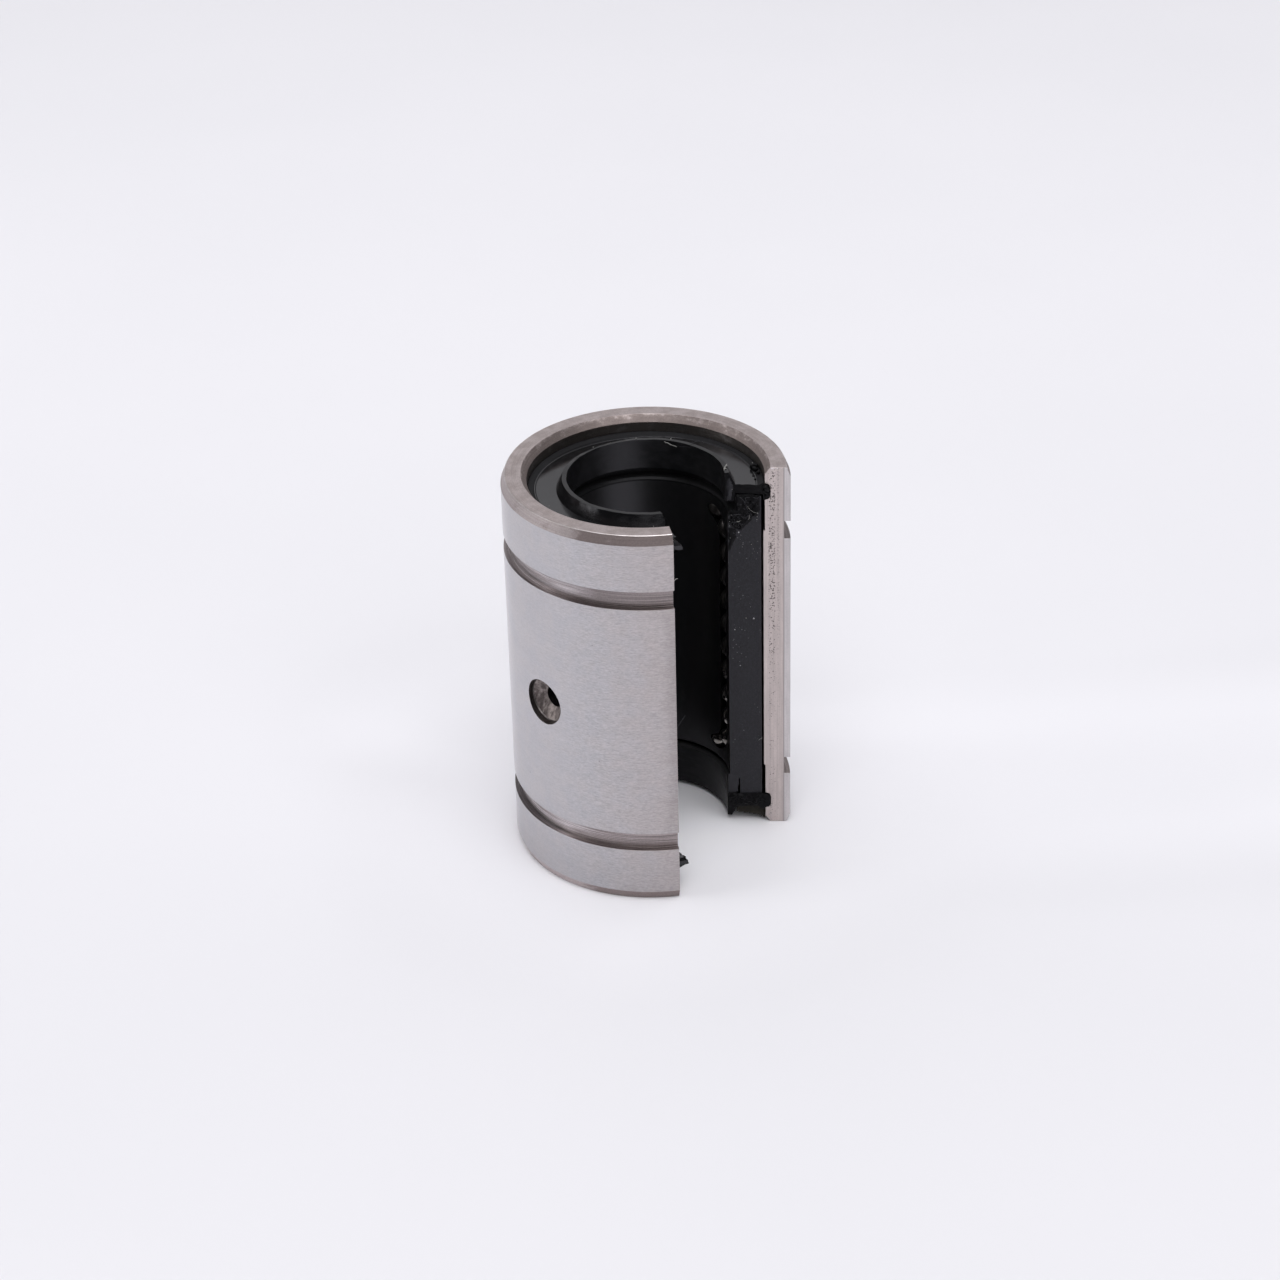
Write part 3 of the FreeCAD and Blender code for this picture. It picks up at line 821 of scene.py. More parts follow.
@dataclass
class SteelSleeve:
    """Slit steel sleeve with turned ends, snap ring grooves, raceway lands and the fixing hole."""

    opening_half_angle: float = 39.0
    wall: float = 2.1
    chamfer_width: float = 0.3
    chamfer_length: float = 0.75
    groove_inset: float = 4.6
    groove_width: float = 1.5
    groove_depth: float = 0.5
    end_bore_step: float = 0.12
    end_bore_length: float = 5.4
    seat_inset: float = 1.35
    seat_width: float = 1.4
    seat_depth: float = 0.43
    seat_round: float = 0.36
    mouth_width: float = 0.43
    mouth_length: float = 0.55
    land_directions: tuple[float, ...] = (-30.0, 90.0, 210.0)
    land_width: float = 2.4
    land_half_length: float = 8.878
    raceway_radius: float = 8.034
    hole_direction: float = 172.6
    hole_radius: float = 1.85
    hole_depth: float = 1.2
    hole_corner: float = 0.06
    corner_slope: float = 1.6
    drill_angle: float = 118.0
    grease_radius: float = 0.85
    patch_half_angle: float = 14.0
    patch_pieces: int = 16
    side_pieces: int = 6
    column_step: float = 1.6
    edge_rounding: float = 0.03
    glint: float = 0.045
    glint_slope: float = 0.3

    def __post_init__(self) -> None:
        """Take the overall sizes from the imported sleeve."""
        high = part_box("outer_sleeve")[1]
        self.outer = high.x / MM
        self.half = high.z / MM
        self.relief = self.outer - self.wall
        self.end_bore = self.relief + self.end_bore_step
        self.half_land = math.degrees(math.asin(self.land_width / 2 / self.relief))

    def outer_half(self) -> list[Corner]:
        """Give the upper half of the outside from the end face down, each corner with the side below it.

        Returns:
            Radius, height and zone of each corner.
        """
        edge = self.outer - self.chamfer_width
        groove_top = self.half - self.groove_inset
        groove_floor = self.outer - self.groove_depth
        return [
            (edge - self.glint, self.half, Zone.EDGE),
            (edge + self.glint_slope * self.glint, self.half - self.glint, Zone.OUTER_CHAMFER),
            (self.outer, self.half - self.chamfer_length, Zone.OUTSIDE),
            (self.outer, groove_top, Zone.RING_GROOVE),
            (groove_floor, groove_top, Zone.RING_GROOVE),
            (groove_floor, groove_top - self.groove_width, Zone.RING_GROOVE),
            (self.outer, groove_top - self.groove_width, Zone.OUTSIDE),
        ]

    def inner_half(self) -> list[Corner]:
        """Give the upper half of the inside from the end face down, each corner with the side below it.

        Returns:
            Radius, height and zone of each corner.
        """
        seat_top = self.half - self.seat_inset
        seat_bottom = seat_top - self.seat_width
        seat_floor = self.end_bore + self.seat_depth
        bend = ROUND_SHARE * self.seat_round
        return [
            (self.end_bore + self.mouth_width, self.half, Zone.MOUTH_CHAMFER),
            (self.end_bore, self.half - self.mouth_length, Zone.BORE),
            (self.end_bore, seat_top, Zone.BORE),
            (seat_floor - bend, seat_top - bend, Zone.BORE),
            (seat_floor, seat_top - self.seat_round, Zone.BORE),
            (seat_floor, seat_bottom + self.seat_round, Zone.BORE),
            (seat_floor - bend, seat_bottom + bend, Zone.BORE),
            (self.end_bore, seat_bottom, Zone.BORE),
            (self.end_bore, self.half - self.end_bore_length, Zone.BORE),
            (self.relief, self.half - self.end_bore_length, Zone.BORE),
        ]

    def patch_reach(self, radius: float) -> float:
        """Give half the height of the square round the fixing hole on a wall of this radius."""
        return radius * math.radians(self.patch_half_angle)

    def past_hole(self, start: float, radius: float) -> list[float]:
        """Give heights from a start towards its mirror image, with even steps along the hole's square.

        Args:
            start: First height in millimetres.
            radius: Radius of the wall in millimetres.

        Returns:
            The heights, without the mirror image itself.
        """
        reach = math.copysign(self.patch_reach(radius), start)
        ends = spread(start, reach, self.side_pieces), spread(-reach, -start, self.side_pieces)
        return ends[0] + spread(reach, -reach, self.patch_pieces) + ends[1]

    @staticmethod
    def backwards(half: Sequence[Corner], sign: int) -> list[Row]:
        """Give the rows of a half from its last corner back to the end face.

        Args:
            half: Corners from the end face on.
            sign: 1 for the upper end, -1 for the lower.

        Returns:
            The rows, each with the zone of the band that follows it.
        """
        sides = [zone for _, _, zone in half[-2::-1]] + [Zone.END_FACE]
        corners = zip(half[::-1], sides)
        return [Row(radius, sign * height, side.value) for (radius, height, _), side in corners]

    def rows(self) -> list[Row]:
        """Give the whole section: down the outside, across the lower end, up the inside and back.

        Returns:
            The rows in order round the section.
        """
        outer, inner = self.outer_half(), self.inner_half()
        rows = [Row(radius, height, zone.value) for radius, height, zone in outer]
        heights = self.past_hole(outer[-1][1], self.outer)[1:]
        rows += [Row(self.outer, height, Zone.OUTSIDE.value) for height in heights]
        rows += self.backwards(outer, -1)
        rows += [Row(radius, -height, zone.value) for radius, height, zone in inner]
        heights = self.past_hole(-self.land_half_length, self.relief) + [self.land_half_length]
        rows += [Row(self.relief, height, Zone.BORE.value) for height in heights]
        return rows + self.backwards(inner, 1)

    def column_angles(self) -> list[float]:
        """Give the angles of the sweep, with lines on the edges of each land and of the hole's square.

        Returns:
            Angles in degrees, from one cut face to the other.
        """
        start = SLIT_DIRECTION + self.opening_half_angle
        end = start + 360.0 - 2.0 * self.opening_half_angle
        marks = {start: 0, end: 0}
        for direction in self.land_directions:
            marks[direction - self.half_land] = 0
            marks[direction + self.half_land] = 0
        marks[self.hole_direction - self.patch_half_angle] = self.patch_pieces
        marks[self.hole_direction + self.patch_half_angle] = 0
        edges = sorted(marks)
        angles: list[float] = []
        for low, high in zip(edges, edges[1:]):
            pieces = marks[low] or math.ceil((high - low) / self.column_step)
            angles += spread(low, high, pieces)
        return angles + [end]

    def build(self) -> Piece:
        """Make the sleeve's mesh.

        Returns:
            The sleeve with its finishes.
        """
        angles = self.column_angles()
        start, end = angles[0], angles[-1]
        shares = [(angle - start) / (end - start) for angle in angles]
        skin = TurnedSkin(self.rows(), shares, [lambda radius: self.opening_half_angle] * 2)
        self.raise_lands(skin, angles)
        self.drill(skin, angles)
        skin.skin(Zone.CUT_FACE.value)
        return skin.finish("steel_sleeve", self.materials(), self.edge_rounding)

    @staticmethod
    def row_at(skin: TurnedSkin, radius: float, height: float) -> int:
        """Find the row that lies at a radius and a height."""
        gaps = [abs(row.radius - radius) + abs(row.height - height) for row in skin.rows]
        return gaps.index(min(gaps))

    @staticmethod
    def column_at(angles: Sequence[float], angle: float) -> int:
        """Find the column nearest to an angle."""
        gaps = [abs(each - angle) for each in angles]
        return gaps.index(min(gaps))

    def raise_lands(self, skin: TurnedSkin, angles: Sequence[float]) -> None:
        """Lift each raceway land from the relieved bore, with parallel sides and a bored face.

        Args:
            skin: The sleeve's skin before it is covered.
            angles: Angle of each column in degrees.
        """
        low = self.row_at(skin, self.relief, -self.land_half_length)
        high = self.row_at(skin, self.relief, self.land_half_length)
        for direction in self.land_directions:
            left = self.column_at(angles, direction - self.half_land)
            right = self.column_at(angles, direction + self.half_land)
            rim = skin.patch((low, high), (left, right))
            lifted = {}
            for row in range(low, high + 1):
                for column in range(left, right + 1):
                    across = self.relief * math.sin(math.radians(angles[column] - direction))
                    turn = direction + math.degrees(math.asin(across / self.raceway_radius))
                    place = polar(self.raceway_radius, turn, skin.rows[row].height)
                    lifted[row, column] = skin.put(place)
            for row in range(low, high):
                for column in range(left, right):
                    cell = ((row, column), (row, column + 1), (row + 1, column + 1), (row + 1, column))
                    skin.face([lifted[key] for key in cell], Zone.BORE.value)
            foot = [skin.verts[row][column] for row, column in rim]
            skin.stack(foot, [lifted[key] for key in rim], Zone.BORE.value)

    def drill(self, skin: TurnedSkin, angles: Sequence[float]) -> None:
        """Sink the fixing hole with its drill cone, and the grease hole on through the wall.

        Args:
            skin: The sleeve's skin before it is covered.
            angles: Angle of each column in degrees.
        """
        columns = tuple(
            self.column_at(angles, self.hole_direction + side * self.patch_half_angle) for side in (-1, 1)
        )
        outward = polar(1.0, self.hole_direction, 0.0)
        across = polar(1.0, self.hole_direction + 90.0, 0.0)
        floor = self.outer - self.hole_depth

        def rim_of(radius: float) -> list[Vert]:
            """Open the square on one wall and give its rim, ordered by the angle about the hole.

            Args:
                radius: Radius of the wall in millimetres.

            Returns:
                The rim's vertices.
            """
            reach = self.patch_reach(radius)
            ends = sorted(self.row_at(skin, radius, side * reach) for side in (1, -1))
            rim = [skin.verts[row][column] for row, column in skin.patch(ends, columns)]
            slack = 0.01

            def order(vert: Vert) -> float:
                """Give the angle of a vertex about the hole's axis, with slack for one that lies at 0."""
                return (math.atan2(vert.co.z, vert.co.dot(across)) + slack) % math.tau

            return sorted(rim, key=order)

        def ring(radius: float, wall: float | None, depth: float = 0.0) -> list[Vert]:
            """Put a circle about the hole's axis, on a round wall or on a flat at a depth.

            Args:
                radius: Radius of the circle in millimetres.
                wall: Radius of the round wall, if it lies on one.
                depth: Distance of the flat from the sleeve's axis.

            Returns:
                The circle's vertices.
            """
            loop = []
            count = 4 * self.patch_pieces
            for index in range(count):
                turn = math.tau * index / count
                side = radius * math.cos(turn)
                reach = math.sqrt(wall * wall - side * side) if wall else depth
                lift = Vector((0.0, 0.0, radius * math.sin(turn)))
                loop.append(skin.put(outward * reach + across * side + lift))
            return loop

        def between(rim: list[Vert], loop: list[Vert], wall: float) -> list[Vert]:
            """Put a loop half-way between a square rim and a circle, on the round wall.

            Args:
                rim: Vertices of the rim.
                loop: Vertices of the circle.
                wall: Radius of the wall in millimetres.

            Returns:
                The loop's vertices.
            """
            made = []
            for first, second in zip(rim, loop):
                middle = (first.co + second.co) / (2 * MM)
                flat = Vector((middle.x, middle.y, 0.0)).normalized() * wall
                made.append(skin.put(Vector((flat.x, flat.y, middle.z))))
            return made

        outside = Zone.OUTSIDE.value
        outer_rim, inner_rim = rim_of(self.outer), rim_of(self.relief)
        mouth = ring(self.hole_radius, self.outer)
        halo = between(outer_rim, mouth, self.outer)
        skin.stack(outer_rim, halo, outside)
        skin.stack(halo, mouth, outside)
        slope = math.tan(math.radians(90.0 - self.drill_angle / 2))

        def cone(radius: float) -> list[Vert]:
            """Put a circle on the drill's cone, which meets the grease hole at the hole's full depth."""
            return ring(radius, None, floor + (radius - self.grease_radius) * slope)

        foot = cone(self.hole_radius - self.hole_corner)
        foot_depth = foot[0].co.dot(outward) / MM
        corner = ring(self.hole_radius, None, foot_depth + self.corner_slope * self.hole_corner)
        middle = cone((self.hole_radius + self.grease_radius) / 2)
        grease = ring(self.grease_radius, None, floor)
        outlet = ring(self.grease_radius, self.relief)
        inner_halo = between(inner_rim, outlet, self.relief)
        # The hole's walls are painted dark: painted shade in the recess.
        skin.stack(mouth, corner, Zone.FIXING_HOLE.value)
        skin.stack(corner, foot, Zone.FIXING_HOLE.value)
        skin.stack(foot, middle, Zone.HOLE_FLOOR.value)
        skin.stack(middle, grease, Zone.HOLE_FLOOR.value)
        skin.stack(grease, outlet, Zone.FIXING_HOLE.value)
        skin.stack(outlet, inner_halo, Zone.BORE.value)
        skin.stack(inner_halo, inner_rim, Zone.BORE.value)

    def materials(self) -> list[Material]:
        """Give one finish per zone, in the zones' order.

        Returns:
            The materials.
        """
        finishes = {
            Zone.OUTSIDE: GroundSteel(),
            Zone.END_FACE: TurnedSteel(
                "turned_end_face", (0.515, 0.448, 0.445, 1.0), (0.430, 0.370, 0.362, 1.0), 0.5, 0.36),
            Zone.OUTER_CHAMFER: TurnedSteel(
                "scaled_chamfer", (0.435, 0.385, 0.383, 1.0), (0.265, 0.221, 0.216, 1.0), 0.18, 0.52,
                stain_length=1.6, slit_stain=0.34, low_gain=1.22),
            # The lower groove's lower corner carries painted shade.
            Zone.RING_GROOVE: TurnedSteel(
                "turned_groove", (0.510, 0.468, 0.475, 1.0), (0.300, 0.262, 0.260, 1.0), 0.45, 0.36,
                ring_scale=10.0, ring_contrast=0.42, stain_length=9.0, slit_stain=0.18, low_gain=1.25,
                corner_shade=0.64, corner_shade_height=-11.4),
            Zone.MOUTH_CHAMFER: TurnedSteel(
                "mottled_mouth", (0.480, 0.422, 0.415, 1.0), (0.265, 0.222, 0.214, 1.0), 0.75, 0.56,
                stain_turn=27.0, stain_radius=9.24, stain_slope=0.5),
            Zone.BORE: TurnedSteel(
                "turned_bore", (0.300, 0.280, 0.272, 1.0), (0.180, 0.161, 0.152, 1.0), 0.6, 0.42),
            Zone.CUT_FACE: MilledSteel(),
            # painted shade: the hole's walls get a much darker steel than its floor.
            Zone.FIXING_HOLE: TurnedSteel(
                "drilled_wall_painted_shade", (0.225, 0.204, 0.198, 1.0), (0.098, 0.088, 0.086, 1.0), 0.55, 0.38),
            # The edge band is burnished steel, painted brighter than the end face as a glint.
            Zone.EDGE: TurnedSteel(
                "burnished_edge_painted_glint", (0.570, 0.535, 0.540, 1.0), (0.450, 0.408, 0.400, 1.0), 0.4, 0.34),
            Zone.HOLE_FLOOR: TurnedSteel(
                "drilled_floor", (0.400, 0.350, 0.336, 1.0), (0.155, 0.132, 0.127, 1.0), 0.5, 0.60,
                stain_length=0.45),
        }
        return [finishes[zone].material() for zone in Zone]

    def dress(self) -> Piece:
        """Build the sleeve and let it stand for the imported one.

        Returns:
            The new piece.
        """
        piece = self.build()
        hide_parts("outer_sleeve")
        LOG.info("%s stands for outer_sleeve", piece.name)
        return piece


@dataclass(frozen=True)
class SlantedCut:
    """Cut end of a ring: an upright plane from a point behind the axis, which leans out from the slit."""

    apex: float
    lean: float

    def gap(self, radius: float) -> float:
        """Give the cut's angle from the slit's middle at a radius, in degrees."""
        return self.lean + math.degrees(math.asin(self.apex * math.sin(math.radians(self.lean)) / radius))


@dataclass
class EndRing:
    """Snap-in end ring: bead, sloping rim, flat web and the collar with its lip, torn at both cut ends."""

    node: str
    upside_down: bool
    collar_bottom: float
    tip_low: float
    tip_flat: float
    tip_slope: float
    seed: int
    bore: float = 6.0
    lip_top: float = 15.45
    lip_thickness: float = 0.34
    lip_foot: float = 0.8
    web_top: float = 14.5
    web_bottom: float = 13.75
    collar_thickness: float = 0.65
    rim_inner: float = 8.36
    rim_radius: float = 8.96
    rim_top: float = 14.7
    rim_edge: float = 0.12
    bead_radius: float = 9.39
    bead_top: float = 14.59
    bead_bottom: float = 13.31
    bead_inner: float = 8.9
    bead_round: float = 0.36
    crease: float = 0.04
    rim_shine: float = 0.06
    rim_slope: float = 0.45
    left_cut: SlantedCut = SlantedCut(4.5, 22.4)
    right_cut: SlantedCut = SlantedCut(2.36, 30.6)
    row_step: float = 0.11
    column_count: int = 170
    end_shares: tuple[float, ...] = (0.0, 0.0015, 0.004, 0.008)
    even_from: float = 0.014
    tear: float = 0.11
    tear_back_limit: float = 0.25
    tear_pitch: float = 0.34
    fine_tear: float = 0.5
    fine_tear_ratio: float = 2.3
    tear_reach: float = 0.00875
    sag_depth: float = 0.035
    sag_pitch: float = 1.6
    sag_mean: float = 0.5
    lip_edge: float = 0.9
    saddle: float = 0.08
    low_side: float = 65.0
    dent_depth: float = 0.13
    dent_side: float = 80.0
    dent_width: float = 20.0
    tip_depth: float = 0.9
    tip_reach: float = 0.02
    edge_rounding: float = 0.055

    def corners(self) -> list[tuple[float, float]]:
        """Give the section's corners, from the collar's foot round to its lip.

        Returns:
            Radius and height of each corner.
        """
        foot = self.bore + self.lip_foot
        rim_foot = self.rim_inner + self.crease
        bend = ROUND_SHARE * self.bead_round
        return [
            (self.bore, self.collar_bottom),
            (self.bore + self.collar_thickness, self.collar_bottom),
            (foot, self.web_bottom),
            (self.bead_inner, self.web_bottom),
            (self.bead_inner, self.bead_bottom),
            (self.bead_radius - self.bead_round, self.bead_bottom),
            (self.bead_radius - bend, self.bead_bottom + bend),
            (self.bead_radius, self.bead_bottom + self.bead_round),
            (self.bead_radius, self.bead_top - self.bead_round),
            (self.bead_radius - bend, self.bead_top - bend),
            (self.rim_radius, self.bead_top),
            (self.rim_radius, self.rim_top),
            (self.rim_radius - self.rim_edge, self.rim_top),
            (rim_foot + self.rim_shine, self.web_top + self.rim_shine * self.rim_slope),
            (rim_foot, self.web_top),
            (self.rim_inner + self.crease / 2, self.web_top - self.crease),
            (self.rim_inner - self.crease / 2, self.web_top),
            (foot, self.web_top),
            (self.bore + self.lip_thickness, self.lip_top),
            (self.bore, self.lip_top),
        ]

    def rows(self) -> list[Row]:
        """Divide the section's sides into short steps.

        Returns:
            The rows in order round the section.
        """
        corners = self.corners()
        rows = []
        for (radius, height), (next_radius, next_height) in zip(corners, corners[1:] + corners[:1]):
            length = math.hypot(next_radius - radius, next_height - height)
            pieces = max(1, round(length / self.row_step))
            radii, heights = spread(radius, next_radius, pieces), spread(height, next_height, pieces)
            zone = self.zone_of(sorted((radius, next_radius)), min(height, next_height)).value
            rows += [Row(each, level, zone) for each, level in zip(radii, heights)]
        return rows

    def zone_of(self, radii: Sequence[float], height: float) -> RingZone:
        """Give the zone of a side of the section.

        Args:
            radii: The side's smaller and larger radius.
            height: The height of its lower end.

        Returns:
            The zone it lies in.
        """
        inner, outer = radii
        rim_foot = self.rim_inner + self.crease
        if outer <= self.bore:
            return RingZone.BORE
        if outer <= self.bore + self.collar_thickness and height <= self.collar_bottom:
            return RingZone.FOOT
        if rim_foot <= inner and outer <= rim_foot + self.rim_shine and height >= self.web_top:
            return RingZone.WEB
        if outer <= self.bore + self.lip_foot and height >= self.web_top:
            return RingZone.LIP
        if inner > self.rim_inner - self.crease and height > self.web_bottom:
            return RingZone.RIM
        return RingZone.WEB

    def shares(self) -> list[float]:
        """Give the columns' places along the sweep, closer together at the torn ends."""
        middle = spread(self.even_from, 1.0 - self.even_from, self.column_count)
        return [*self.end_shares, *middle, *(1.0 - share for share in reversed(self.end_shares))]

    def build(self, materials: Sequence[Material]) -> Piece:
        """Make the ring's mesh, with its cut ends torn out of true.

        Args:
            materials: One material per zone.

        Returns:
            The ring with its finishes.
        """
        shares = self.shares()
        cuts = (self.left_cut, self.right_cut) if self.upside_down else (self.right_cut, self.left_cut)
        skin = TurnedSkin(self.rows(), shares, [cut.gap for cut in cuts])
        for line in skin.verts:
            for column, share in enumerate(shares):
                self.sag(line[column])
                self.tear_back(line[column], min(share, 1.0 - share))
                self.slope_tip(line[column], share if self.upside_down else 1.0 - share)
        skin.skin(RingZone.CUT.value)
        if self.upside_down:
            bmesh.ops.rotate(skin.mesh, matrix=Matrix.Rotation(math.pi, 3, "Y"), verts=skin.mesh.verts)
        return skin.finish(f"{self.node}_moulding", materials, self.edge_rounding)

    def sag(self, vert: Vert) -> None:
        """Let the web warp a little like a saddle, and the thin lip's top edge sag unevenly.

        Args:
            vert: Corner of the moulding, before it is turned upside down.
        """
        place = vert.co / MM
        near = max(0.0, place.z - self.web_top) / (self.lip_top - self.web_top)
        level = Vector((place.x, place.y, 0.0))
        turn = math.degrees(math.atan2(place.y, place.x))
        foot = self.bore + self.lip_foot
        if abs(place.z - self.web_top) < self.crease and foot < level.length < self.rim_radius:
            out = (level.length - foot) / (self.rim_inner - foot)
            vert.co.z -= self.saddle * out * math.cos(2.0 * math.radians(turn - self.low_side)) * MM
        if level.length > foot or near == 0.0:
            return
        if near > self.lip_edge and level.length > self.bore + self.lip_thickness / 2:
            from_dent = (turn - self.dent_side) / self.dent_width
            vert.co.z -= self.dent_depth * math.exp(-(from_dent**2)) * MM
        wave = self.sag_mean + ragged(level, self.sag_pitch, self.seed)
        vert.co.z -= self.sag_depth * max(0.0, wave) * near * MM
        sway = ragged(level, self.sag_pitch / 2, self.seed + 2)
        vert.co += level.normalized() * self.sag_depth * sway * near * MM

    def slope_tip(self, vert: Vert, share: float) -> None:
        """Cut the end that shows beside the sleeve back to a small sloping tip.

        Args:
            vert: Corner of the moulding, before it is turned upside down.
            share: Its distance from that end as a share of the sweep.
        """
        hold = max(0.0, 1.0 - share / self.tip_reach)
        height = (vert.co.z / MM - self.tip_low) * (-1.0 if self.upside_down else 1.0)
        back = self.tip_depth if height < 0.0 else max(0.0, height - self.tip_flat) * self.tip_slope
        place = Vector((vert.co.x, vert.co.y, 0.0))
        along = Vector((-place.y, place.x, 0.0)).normalized() * (1.0 if self.upside_down else -1.0)
        if place.length / MM > self.rim_inner:
            vert.co += along * back * hold * MM

    def tear_back(self, vert: Vert, share: float) -> None:
        """Move a vertex near a cut end by a torn, uneven amount along the sweep.

        Args:
            vert: Corner of the moulding, before it is turned upside down.
            share: Its distance from the nearer end as a share of the sweep.
        """
        hold = max(0.0, 1.0 - share / self.tear_reach)
        if hold == 0.0:
            return
        place = vert.co / MM
        along = Vector((-place.y, place.x, 0.0)).normalized()
        into_slit = along if place.x < 0.0 else -along
        pull = ragged(place, self.tear_pitch, self.seed)
        pull += self.fine_tear * ragged(place, self.tear_pitch / self.fine_tear_ratio, self.seed + 3)
        vert.co += into_slit * max(pull, -self.tear_back_limit) * self.tear * hold * MM

    def dress(self, materials: Sequence[Material]) -> Piece:
        """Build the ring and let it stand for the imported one.

        Args:
            materials: One material per zone.

        Returns:
            The new piece.
        """
        piece = self.build(materials)
        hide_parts(self.node)
        LOG.info("%s stands for %s", piece.name, self.node)
        return piece


@dataclass
class BallCage:
    """Moulded cage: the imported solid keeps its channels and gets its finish."""

    node: str = "ball_cage"

    def dress(self) -> None:
        """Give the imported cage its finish."""
        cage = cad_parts[self.node]
        cage.material_slots[0].material = CagePlastic().material()
        LOG.info("%s keeps its packed shape", self.node)


class Scrap(Enum):
    """What a torn bit is made of, in the order of the torn plastic's materials."""

    TORN = 0
    SAWN = 1
    PALE = 2
    STEEL = 3
    # a dark sheet that is painted shade
    GREASE = 4


@dataclass
class TornPlastic:
    """Leavings of the slit's cutter: torn patches, smears, threads and crumbs, and a dark sheet of painted
    shade.
    """

    cage_cut: float = -50.5
    steel_cut: float = -51.0
    collar_cut: float = -48.6
    shade_sheet_cut: float = -49.6
    cell: float = 0.07
    ramp: float = 0.22
    bumps: tuple[tuple[float, float, int], ...] = ((1.0, 0.42, 11), (0.7, 0.17, 12), (0.4, 0.08, 13))
    thinnest: float = 0.01
    sunk: float = 0.02
    thread_steps: int = 9
    thread_sides: int = 6
    thread_tip: float = 0.35
    taper_from: float = 0.15
    lump: float = 0.55
    lump_pitch: float = 0.45
    crumb_lift: float = 0.07
    chance_seed: int = 7
    curls: int = 48
    curl_radii: tuple[float, float] = (6.3, 8.6)
    curl_heights: tuple[float, float] = (10.8, 13.6)
    curl_reach: tuple[float, float] = (0.15, 0.4)
    curl_thickness: tuple[float, float] = (0.03, 0.07)
    curl_lifts: Triple = (0.1, 0.28, 0.12)
    curl_margin: float = 0.12
    curl_turn: float = 2.0
    curl_back: float = 0.6

    def __post_init__(self) -> None:
        """Start the mesh that takes every bit."""
        self.mesh = bmesh.new()
        self.chance = random.Random(self.chance_seed)

    def on_cage(self, radius: float, height: float, lift: float) -> Vector:
        """Give a place on the cage's right cut face, lifted into the slit."""
        return self.on_face(self.cage_cut, radius, height, lift)

    @staticmethod
    def on_face(angle: float, radius: float, height: float, lift: float) -> Vector:
        """Give a place on a right-hand cut face at an angle, lifted into the slit."""
        turn = math.radians(angle)
        return polar(radius, angle, height) + Vector((math.sin(turn), -math.cos(turn), 0.0)) * lift

    @staticmethod
    def inside(radius: float, height: float, outline: Outline) -> float:
        """Give the distance from an outline's nearest side, positive inside it.

        Args:
            radius: The place's radius in millimetres.
            height: Its height in millimetres.
            outline: Corners as radius and height.

        Returns:
            The distance in millimetres.
        """
        place = Vector((radius, height))
        nearest, within = math.inf, False
        for first, second in zip(outline, [*outline[1:], outline[0]]):
            start, side = Vector(first), Vector(second) - Vector(first)
            share = max(0.0, min(1.0, (place - start).dot(side) / side.length_squared))
            nearest = min(nearest, (place - start - side * share).length)
            if (first[1] > height) != (second[1] > height):
                crossing = first[0] + (height - first[1]) * side.x / side.y
                within ^= radius < crossing
        return nearest if within else -nearest

    def plate(self, outline: Outline, angle: float, lift: float, rough: float, scrap: Scrap) -> None:
        """Lay an uneven skin over part of a cut face.

        Args:
            outline: Its corners as radius and height.
            angle: Angle of the cut face in degrees.
            lift: Its mean thickness in millimetres.
            rough: Height of its bumps in millimetres.
            scrap: What it is made of.
        """
        radii = [corner[0] for corner in outline]
        heights = [corner[1] for corner in outline]
        across = math.ceil((max(radii) - min(radii)) / self.cell) + 1
        up = math.ceil((max(heights) - min(heights)) / self.cell) + 1
        grid: dict[tuple[int, int], Vert] = {}
        for column in range(across + 1):
            for row in range(up + 1):
                radius, height = min(radii) + column * self.cell, min(heights) + row * self.cell
                depth = self.inside(radius, height, outline)
                if depth < -self.cell:
                    continue
                place = self.on_face(angle, radius, height, 0.0)
                bump = sum(share * ragged(place, pitch, seed) for share, pitch, seed in self.bumps)
                hold = max(0.0, min(1.0, (depth + self.cell) / self.ramp))
                out = hold * max(self.thinnest, lift + rough * bump) - self.sunk
                grid[column, row] = self.mesh.verts.new(self.on_face(angle, radius, height, out) * MM)
        for column, row in grid:
            corners = [(column, row), (column + 1, row), (column + 1, row + 1), (column, row + 1)]
            if all(corner in grid for corner in corners):
                add_face(self.mesh, [grid[corner] for corner in corners], scrap.value)

    def thread(self, start: Vector, bend: Vector, end: Vector, thickness: float, scrap: Scrap) -> None:
        """Draw a tapering thread that bends towards a point between its ends.

        Args:
            start: One end in millimetres.
            bend: The point that it bends towards.
            end: Its other end.
            thickness: Its width at the middle in millimetres.
            scrap: What it is made of.
        """
        rings = []
        for step in range(self.thread_steps + 1):
            share = step / self.thread_steps
            place = start.lerp(bend, share).lerp(bend.lerp(end, share), share)
            ahead = (bend - start).lerp(end - bend, share).normalized()
            side = ahead.orthogonal().normalized()
            up = ahead.cross(side)
            swell = math.sin(math.pi * (self.taper_from + (1.0 - 2.0 * self.taper_from) * share))
            radius = thickness / 2 * (self.thread_tip + (1.0 - self.thread_tip) * swell)
            ring = []
            for index in range(self.thread_sides):
                turn = math.tau * index / self.thread_sides
                out = side * math.cos(turn) + up * math.sin(turn)
                ring.append(self.mesh.verts.new((place + out * radius) * MM))
            rings.append(ring)
        for first, second in zip(rings, rings[1:]):
            for index in range(self.thread_sides):
                after = (index + 1) % self.thread_sides
                corners = (first[index], first[after], second[after], second[index])
                add_face(self.mesh, corners, scrap.value)
        for ring in (rings[0], rings[-1]):
            self.mesh.faces.new(ring).material_index = scrap.value

    def threads(self, put: Callable[..., Vector], scrap: Scrap, courses: Iterable[Course]) -> None:
        """Draw threads of one kind.

        Args:
            put: Gives the place that three numbers stand for.
            scrap: What the threads are made of.
            courses: Start, bend and end of each thread, three numbers each, and its thickness.
        """
        for start, bend, end, thickness in courses:
            self.thread(put(*start), put(*bend), put(*end), thickness, scrap)

